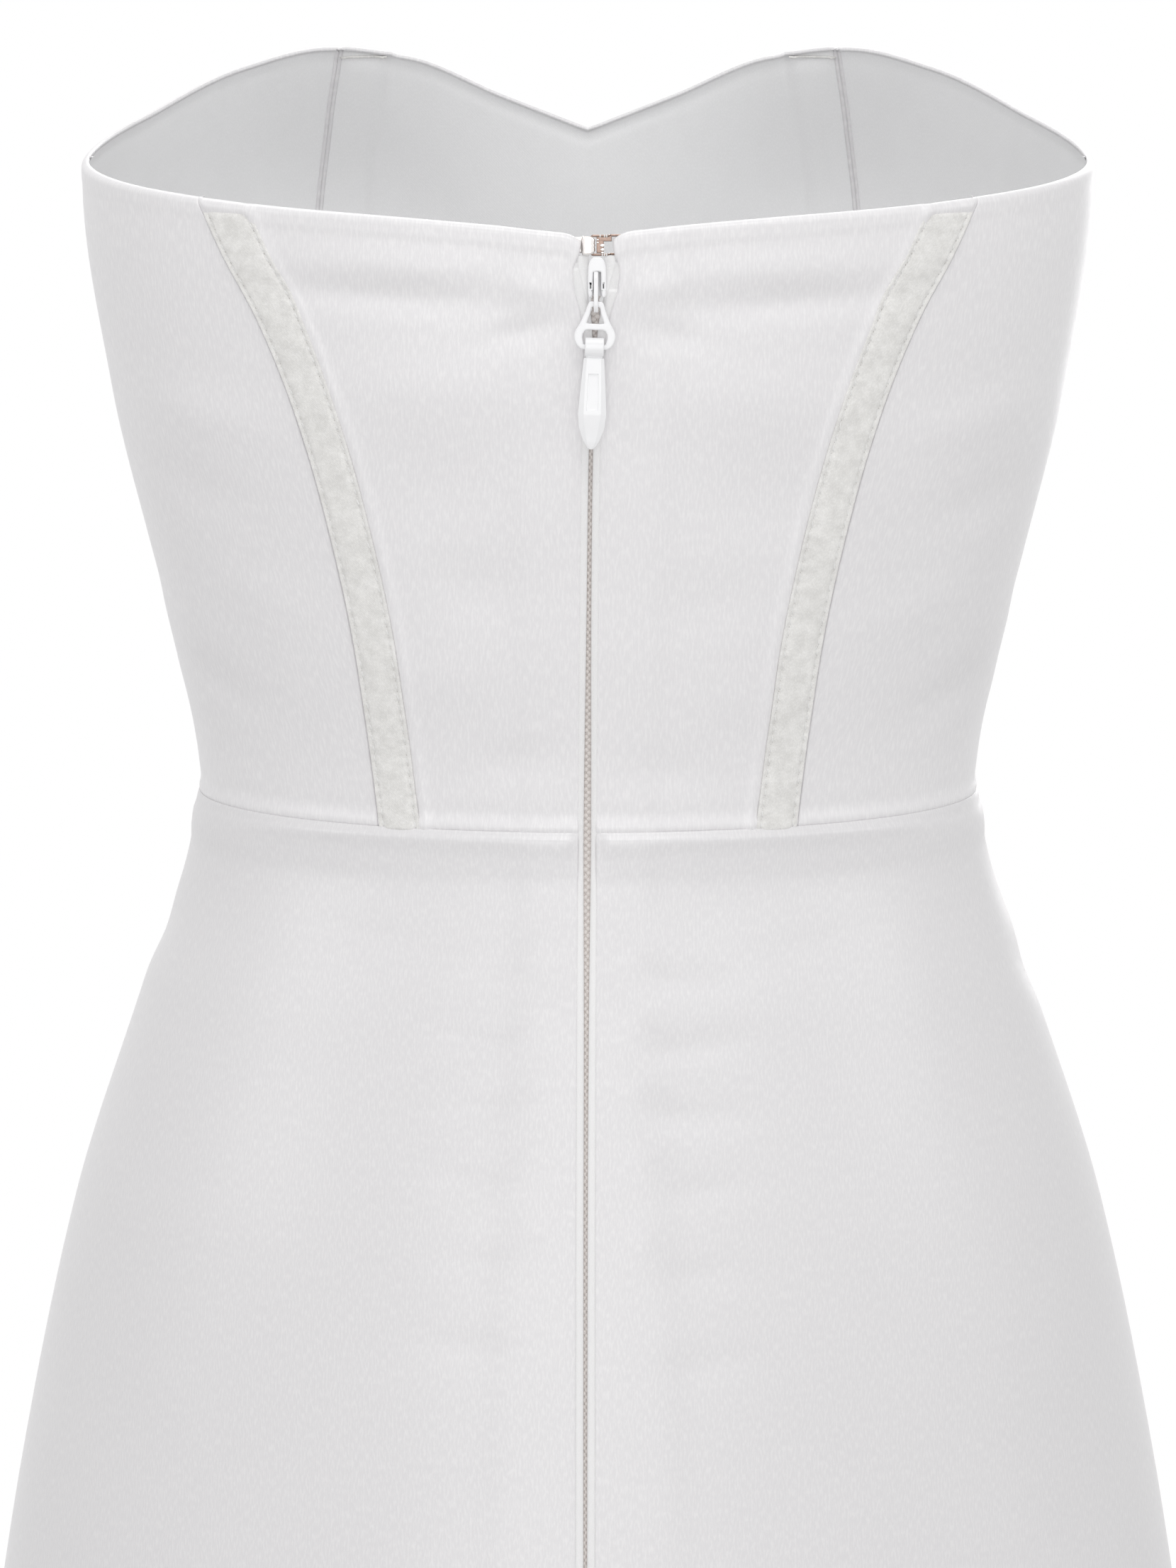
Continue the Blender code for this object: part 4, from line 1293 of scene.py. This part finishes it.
# %% Cast the slider
back_depth = float(smooth_between(SECTIONS, np.array([SLIDER_HEIGHT]), 2)[0])
FACING_BACK = Matrix.Rotation(math.radians(90), 4, "X")
FACING_SIDE = Matrix(((0, 0, 1, 0), (-1, 0, 0, 0), (0, 1, 0, 0), (0, 0, 0, 1)))


def stood(across, height, turn):
    """The matrix that stands a flat shape up, turned so, at a place on the back."""
    return Matrix.Translation(Vector((across, -back_depth, height)) * MM) @ turn


front = stood(SLIDER_ACROSS, SLIDER_HEIGHT, FACING_BACK)
hinge = (HINGE_PROUD, HINGE_HEIGHT - SLIDER_HEIGHT)
bail_side = (
    [(-1.4, 1.6), (-1.4, hinge[1] + 3.6)]
    + arc(hinge, BAIL_RADIUS, 165, 360, 12)
    + [(4.75, -5.0), (4.7, -3.0), (4.3, 0.0), (3.6, 1.2), (2.4, 1.75)]
)
bail_outlines = [bail_side, arc(hinge, BAIL_HOLE, 0, 348, 29)]
slits = [LEG_SLIT, tuple((-a, b) for a, b in LEG_SLIT)]
slider_parts = [
    plate([softened(mirrored(SLIDER_HALF)), *slits], *FRONT_PLATE, front),
    plate([softened(mirrored(FLOOR_HALF_OUTLINE))], *FLOOR_PLATE, front),
    plate(bail_outlines, *BAIL_PLATE, stood(HINGE_ACROSS, SLIDER_HEIGHT, FACING_SIDE)),
]
slider_piece = finished(joined(slider_parts), "slider_casting", LACQUER, 40)
declare(slider_piece, "gown", "zip_slider")
print("slider faces:", len(slider_piece.data.polygons))

# %% [markdown]
# ## The ring and the pull
# Both hang from the bail, leaning two degrees to the left. The ring is a flat triangle with two holes.
# The pull's loop goes round the ring's lower bar, and its long body widens to a ridge and then
# falls away in a facet to the tip. The front has a shallow sunken panel.

# %% Sizes of the ring and the pull
LEAN = 2.0
RING_DROP = 11.85
RING_HALF_WALL = 0.65
RING_EDGE = 0.4
RING_OUTLINE = (
    # out, up
    (0.0, 0.8), (1.5, 0.75), (2.15, 0.1), (2.9, -2.2), (4.2, -5.2), (5.4, -7.4), (5.75, -8.9),
    (5.3, -10.8), (4.2, -12.1), (2.9, -12.55), (0.0, -12.55),
)
RING_EYE = (
    # out, up
    (0.0, -0.75), (1.05, -0.8), (1.5, -2.6), (2.3, -4.7), (2.1, -5.3), (0.0, -5.35),
)
RING_SLOT = (
    # out, up
    (0.0, -7.1), (2.4, -7.15), (3.3, -8.2), (3.45, -9.4), (3.1, -10.7), (2.7, -11.15), (0.0, -11.15),
)
LOOP_HALF_HEIGHT = 2.6
LOOP_HALF_DEPTH = 1.9
LOOP_HOLE = 1.3
LOOP_HALF_LENGTH = 2.6
PULL = (
    # down, half_width, front, back, chamfer
    (1.9, 2.2, 0.75, 0.75, 0.5),
    (3.0, 2.25, 0.4, 0.75, 0.5),
    (3.08, 2.75, 0.85, 0.9, 0.6),
    (3.5, 2.87, 1.0, 1.0, 0.9),
    (6.6, 3.1, 1.08, 1.05, 1.0),
    (12.0, 3.5, 1.2, 1.1, 1.2),
    (18.3, 3.9, 1.6, 1.1, 1.5),
    (18.9, 3.9, 1.6, 1.1, 1.6),
    (22.3, 3.55, 1.0, 1.0, 1.6),
    (25.7, 2.45, 0.66, 0.75, 1.1),
    (27.6, 1.35, 0.58, 0.5, 0.6),
    (28.45, 0.5, 0.3, 0.3, 0.2),
)
PANEL_FROM = 6.5
PANEL_TO = 18.4
PANEL_MARGIN = 0.75
PANEL_DEPTH = 0.4
PANEL_SLOPE = 0.1

# %% Cast the ring
hang = (
    Matrix.Translation(Vector((HINGE_ACROSS, -back_depth - HINGE_PROUD, HINGE_HEIGHT)) * MM)
    @ Matrix.Rotation(math.radians(LEAN), 4, "Y")
)
upright = hang @ FACING_BACK
ring_outlines = [softened(mirrored(half)) for half in (RING_OUTLINE, RING_EYE, RING_SLOT)]
ring_shell = plate(ring_outlines, -RING_HALF_WALL, RING_HALF_WALL, RING_EDGE, upright)
ring_piece = finished(ring_shell, "ring_casting", LACQUER, 40)
declare(ring_piece, "ring", "zip_ring")
print("ring faces:", len(ring_piece.data.polygons))

# %% [markdown]
# The body of the pull is made of rings of eight points, joined by the bridge operator as in the editor,
# and its flat front is inset and pushed in. A Bevel modifier then breaks the edges.


# %% Cast the pull
def pull_ring(shape, down, half_width, front, back, chamfer):
    """Eight points round the pull at that depth below its hinge, as a closed loop of edges."""
    section = (
        (half_width, front * 0.15),
        (half_width - chamfer, front),
        (-half_width + chamfer, front),
        (-half_width, front * 0.15),
        (-half_width, -back * 0.5),
        (-half_width + chamfer * 0.6, -back),
        (half_width - chamfer * 0.6, -back),
        (half_width, -back * 0.5),
    )
    made = bmesh.ops.create_circle(shape, segments=len(section), radius=1)["verts"]
    for vert, (a, b) in zip(made, section):
        vert.co = Vector((a, -b, -down)) * MM
    edges = {edge for vert in made for edge in vert.link_edges}
    return made, list(edges)


shape = bmesh.new()
loops = [pull_ring(shape, *row) for row in PULL]
for (_, above), (_, below) in zip(loops, loops[1:]):
    bmesh.ops.bridge_loops(shape, edges=above + below)
for verts, _ in (loops[0], loops[-1]):
    bmesh.ops.contextual_create(shape, geom=verts)
bmesh.ops.recalc_face_normals(shape, faces=shape.faces)
panel_top, panel_bottom = -PANEL_FROM * MM, -PANEL_TO * MM
front_faces = [
    face
    for face in shape.faces
    if face.normal.y < -0.95 and all(panel_bottom < vert.co.z < panel_top for vert in face.verts)
]
bmesh.ops.inset_region(shape, faces=front_faces, thickness=PANEL_MARGIN * MM, use_even_offset=True)
sunk = -PANEL_DEPTH * MM
bmesh.ops.inset_region(shape, faces=front_faces, thickness=PANEL_SLOPE * MM, depth=sunk, use_even_offset=True)
bmesh.ops.remove_doubles(shape, verts=shape.verts, dist=1e-6)
drop = hang @ Matrix.Translation((0, 0, -RING_DROP * MM))
bmesh.ops.transform(shape, matrix=drop, verts=shape.verts)
loop_outlines = [
    arc((0, 0), LOOP_HALF_HEIGHT, 0, 352, 44, LOOP_HALF_DEPTH / LOOP_HALF_HEIGHT),
    arc((0, 0), LOOP_HOLE, 0, 348, 29),
]
loop = plate(loop_outlines, -LOOP_HALF_LENGTH, LOOP_HALF_LENGTH, 0.3, drop @ FACING_SIDE)
pull_piece = finished(joined([shape, loop]), "pull_casting", LACQUER, 40)
soften_edges(pull_piece, 0.1, 3, 18)
declare(pull_piece, "pull", "zip_pull")
print("pull faces:", len(pull_piece.data.polygons))

# %% [markdown]
# ## The hook and the eye
# Above the slider a flat nickel hook closes the top edge. It comes out of the left side, over the gap,
# and curls back round the bar of a wire eye that is sewn to the right side with a few turns of thread. The
# photograph shows a darker flat bar and some bright knobs within the eye, which are made as they look. The
# eye's wire and bars are a dark brown nickel: painted dark reflection and shade.

# %% Sizes of the hook and the eye
HOOK_HEIGHT = 168.2
HOOK_WALL = 0.45
HOOK_PATH = (
    # across, proud, half_height
    (-7.0, -2.15, 2.1),
    (-4.4, -2.15, 2.3),
    (-4.15, -0.2, 2.6),
    (-3.6, 0.6, 2.6),
    (-1.9, 0.8, 2.5),
    (-1.0, 0.55, 2.2),
    (-0.55, -0.3, 1.85),
    (-1.0, -1.15, 1.85),
    (-2.3, -1.3, 1.85),
)
EYE_WIRE = 0.35
EYE_HALF_HEIGHT = 2.6
EYE_PATH = (
    # across, proud
    (-1.5, -0.3), (2.8, -0.3), (3.8, -2.3), (7.2, -2.3),
)


# %% Bend the hook
def open_curve(points, steps):
    """A smooth open curve through the points."""
    rows = [(i, *point) for i, point in enumerate(points)]
    at = np.linspace(0, len(points) - 1, steps + 1)
    return np.stack([smooth_between(rows, at, column) for column in range(1, len(points[0]) + 1)], axis=-1)


HOOK_STEPS = 48
HOOK_ROWS = 8
CROWN = 0.12
SCALLOP = 0.12
hook_curve = open_curve(HOOK_PATH, HOOK_STEPS)


def hook_place(column, row):
    across, proud, half_height = hook_curve[column].T
    from_middle = row / HOOK_ROWS * 2 - 1
    crown = CROWN * (1 - from_middle**2)
    scallop = SCALLOP * np.cos(from_middle * 3 * math.pi) * ease((across + 3) / 1.5)
    points = zip_point(across + scallop, np.full_like(across, HOOK_HEIGHT), proud + crown)
    points[:, 2] = HOOK_HEIGHT + from_middle * half_height
    return points, np.stack([across, points[:, 2]], axis=-1)


hook_piece, _ = cloth_object("hook_plate", HOOK_STEPS, HOOK_ROWS, hook_place, NICKEL, HOOK_WALL)
soften_edges(hook_piece, 0.12, 2, 50)
declare(hook_piece, "gown", "hook")


# %% Bend the eye
top_arm = [(across, proud, EYE_HALF_HEIGHT) for across, proud in EYE_PATH]
low_arm = [(across, proud, -up) for across, proud, up in top_arm]
bar = [(-1.0, -0.3, EYE_HALF_HEIGHT), (-1.5, -0.3, 2.1), (-1.5, -0.3, 0.0), (-1.5, -0.3, -2.1)]
eye_curve = open_curve(top_arm[:0:-1] + bar + [(-1.0, -0.3, -EYE_HALF_HEIGHT)] + low_arm[1:], 72)
eye_points = zip_point(eye_curve[:, 0], np.full(len(eye_curve), HOOK_HEIGHT), eye_curve[:, 1])
eye_points[:, 2] = HOOK_HEIGHT + eye_curve[:, 2]
wire = new_curve([eye_points], False, EYE_WIRE)
wire.use_fill_caps = True
# the eye's wire is coloured with painted dark reflection and shade
declare(finished(shell_of(wire), "eye_wire", NICKEL_PAINTED_DARK), "gown", "eye")


# %% The eye's flat bars, bright turns and thread
def at_hook(across, up, proud):
    """A place in the opening, in mm, so far up from the hook's middle."""
    place = Vector(zip_point(np.array([across]), np.array([HOOK_HEIGHT]), np.array([proud]))[0])
    place.z = HOOK_HEIGHT + up
    return place


BAR_PLATE = (-1.15, -0.6, 0.18)
EYE_BARS = (
    # low corner (out, up), high corner
    ((-0.1, 1.05), (4.1, 2.5)),
    ((-0.1, -2.2), (1.9, 1.3)),
)
stand = Matrix.Translation(at_hook(0.0, 0.0, 0.0) * MM) @ FACING_BACK
bars = []
for (low_out, low_up), (high_out, high_up) in EYE_BARS:
    outline = [(low_out, low_up), (high_out, low_up), (high_out, high_up), (low_out, high_up)]
    bars.append(plate([outline], *BAR_PLATE, stand))
# the bars' dark brown is painted dark reflection and shade within the eye
declare(finished(joined(bars), "eye_plate", NICKEL_PAINTED_DARK, 40), "gown")

EYE_TURNS = (
    # across, up, half_length
    (1.5, 0.0, 0.55),
    (1.55, -1.15, 0.5),
    (1.5, -2.0, 0.36),
    (0.25, 1.6, 0.3),
    (0.25, 0.8, 0.3),
)
shape = bmesh.new()
for across, up, half in EYE_TURNS:
    size = (half * 1.3, half * 0.85, 0.32)
    bead(shape, at_hook(across, up, -0.05), Vector((1, 0, 0)), Vector((0, 0, 1)), size, (12, 9))
declare(finished(shape, "eye_wraps", NICKEL), "gown")

THREAD_TURN = (0.55, 0.5, 0.24)
EYE_STITCHES = ((0.9, 2.6), (2.1, 2.6), (2.7, 2.6), (1.5, -2.6), (2.1, -2.6), (2.7, -2.6))
shape = bmesh.new()
for across, up in EYE_STITCHES:
    bead(shape, at_hook(across, up, -0.3), Vector((0, 1, 0)), Vector((0, 0, 1)), THREAD_TURN, (10, 8))
declare(finished(shape, "eye_stitches", THREAD), "gown")
print("hook and eye at height", HOOK_HEIGHT)

# %% [markdown]
# ## What was made
# The cut of each cloth piece is printed, and the box round everything shown is measured. The visual
# pieces have to stay inside the solids' box, apart from the little that cloth may stand proud.

# %% Sizes and the end
for name, (width, length) in sorted(CUTS.items()):
    print("cut in mm:", name, width, "x", length)
low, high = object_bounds()
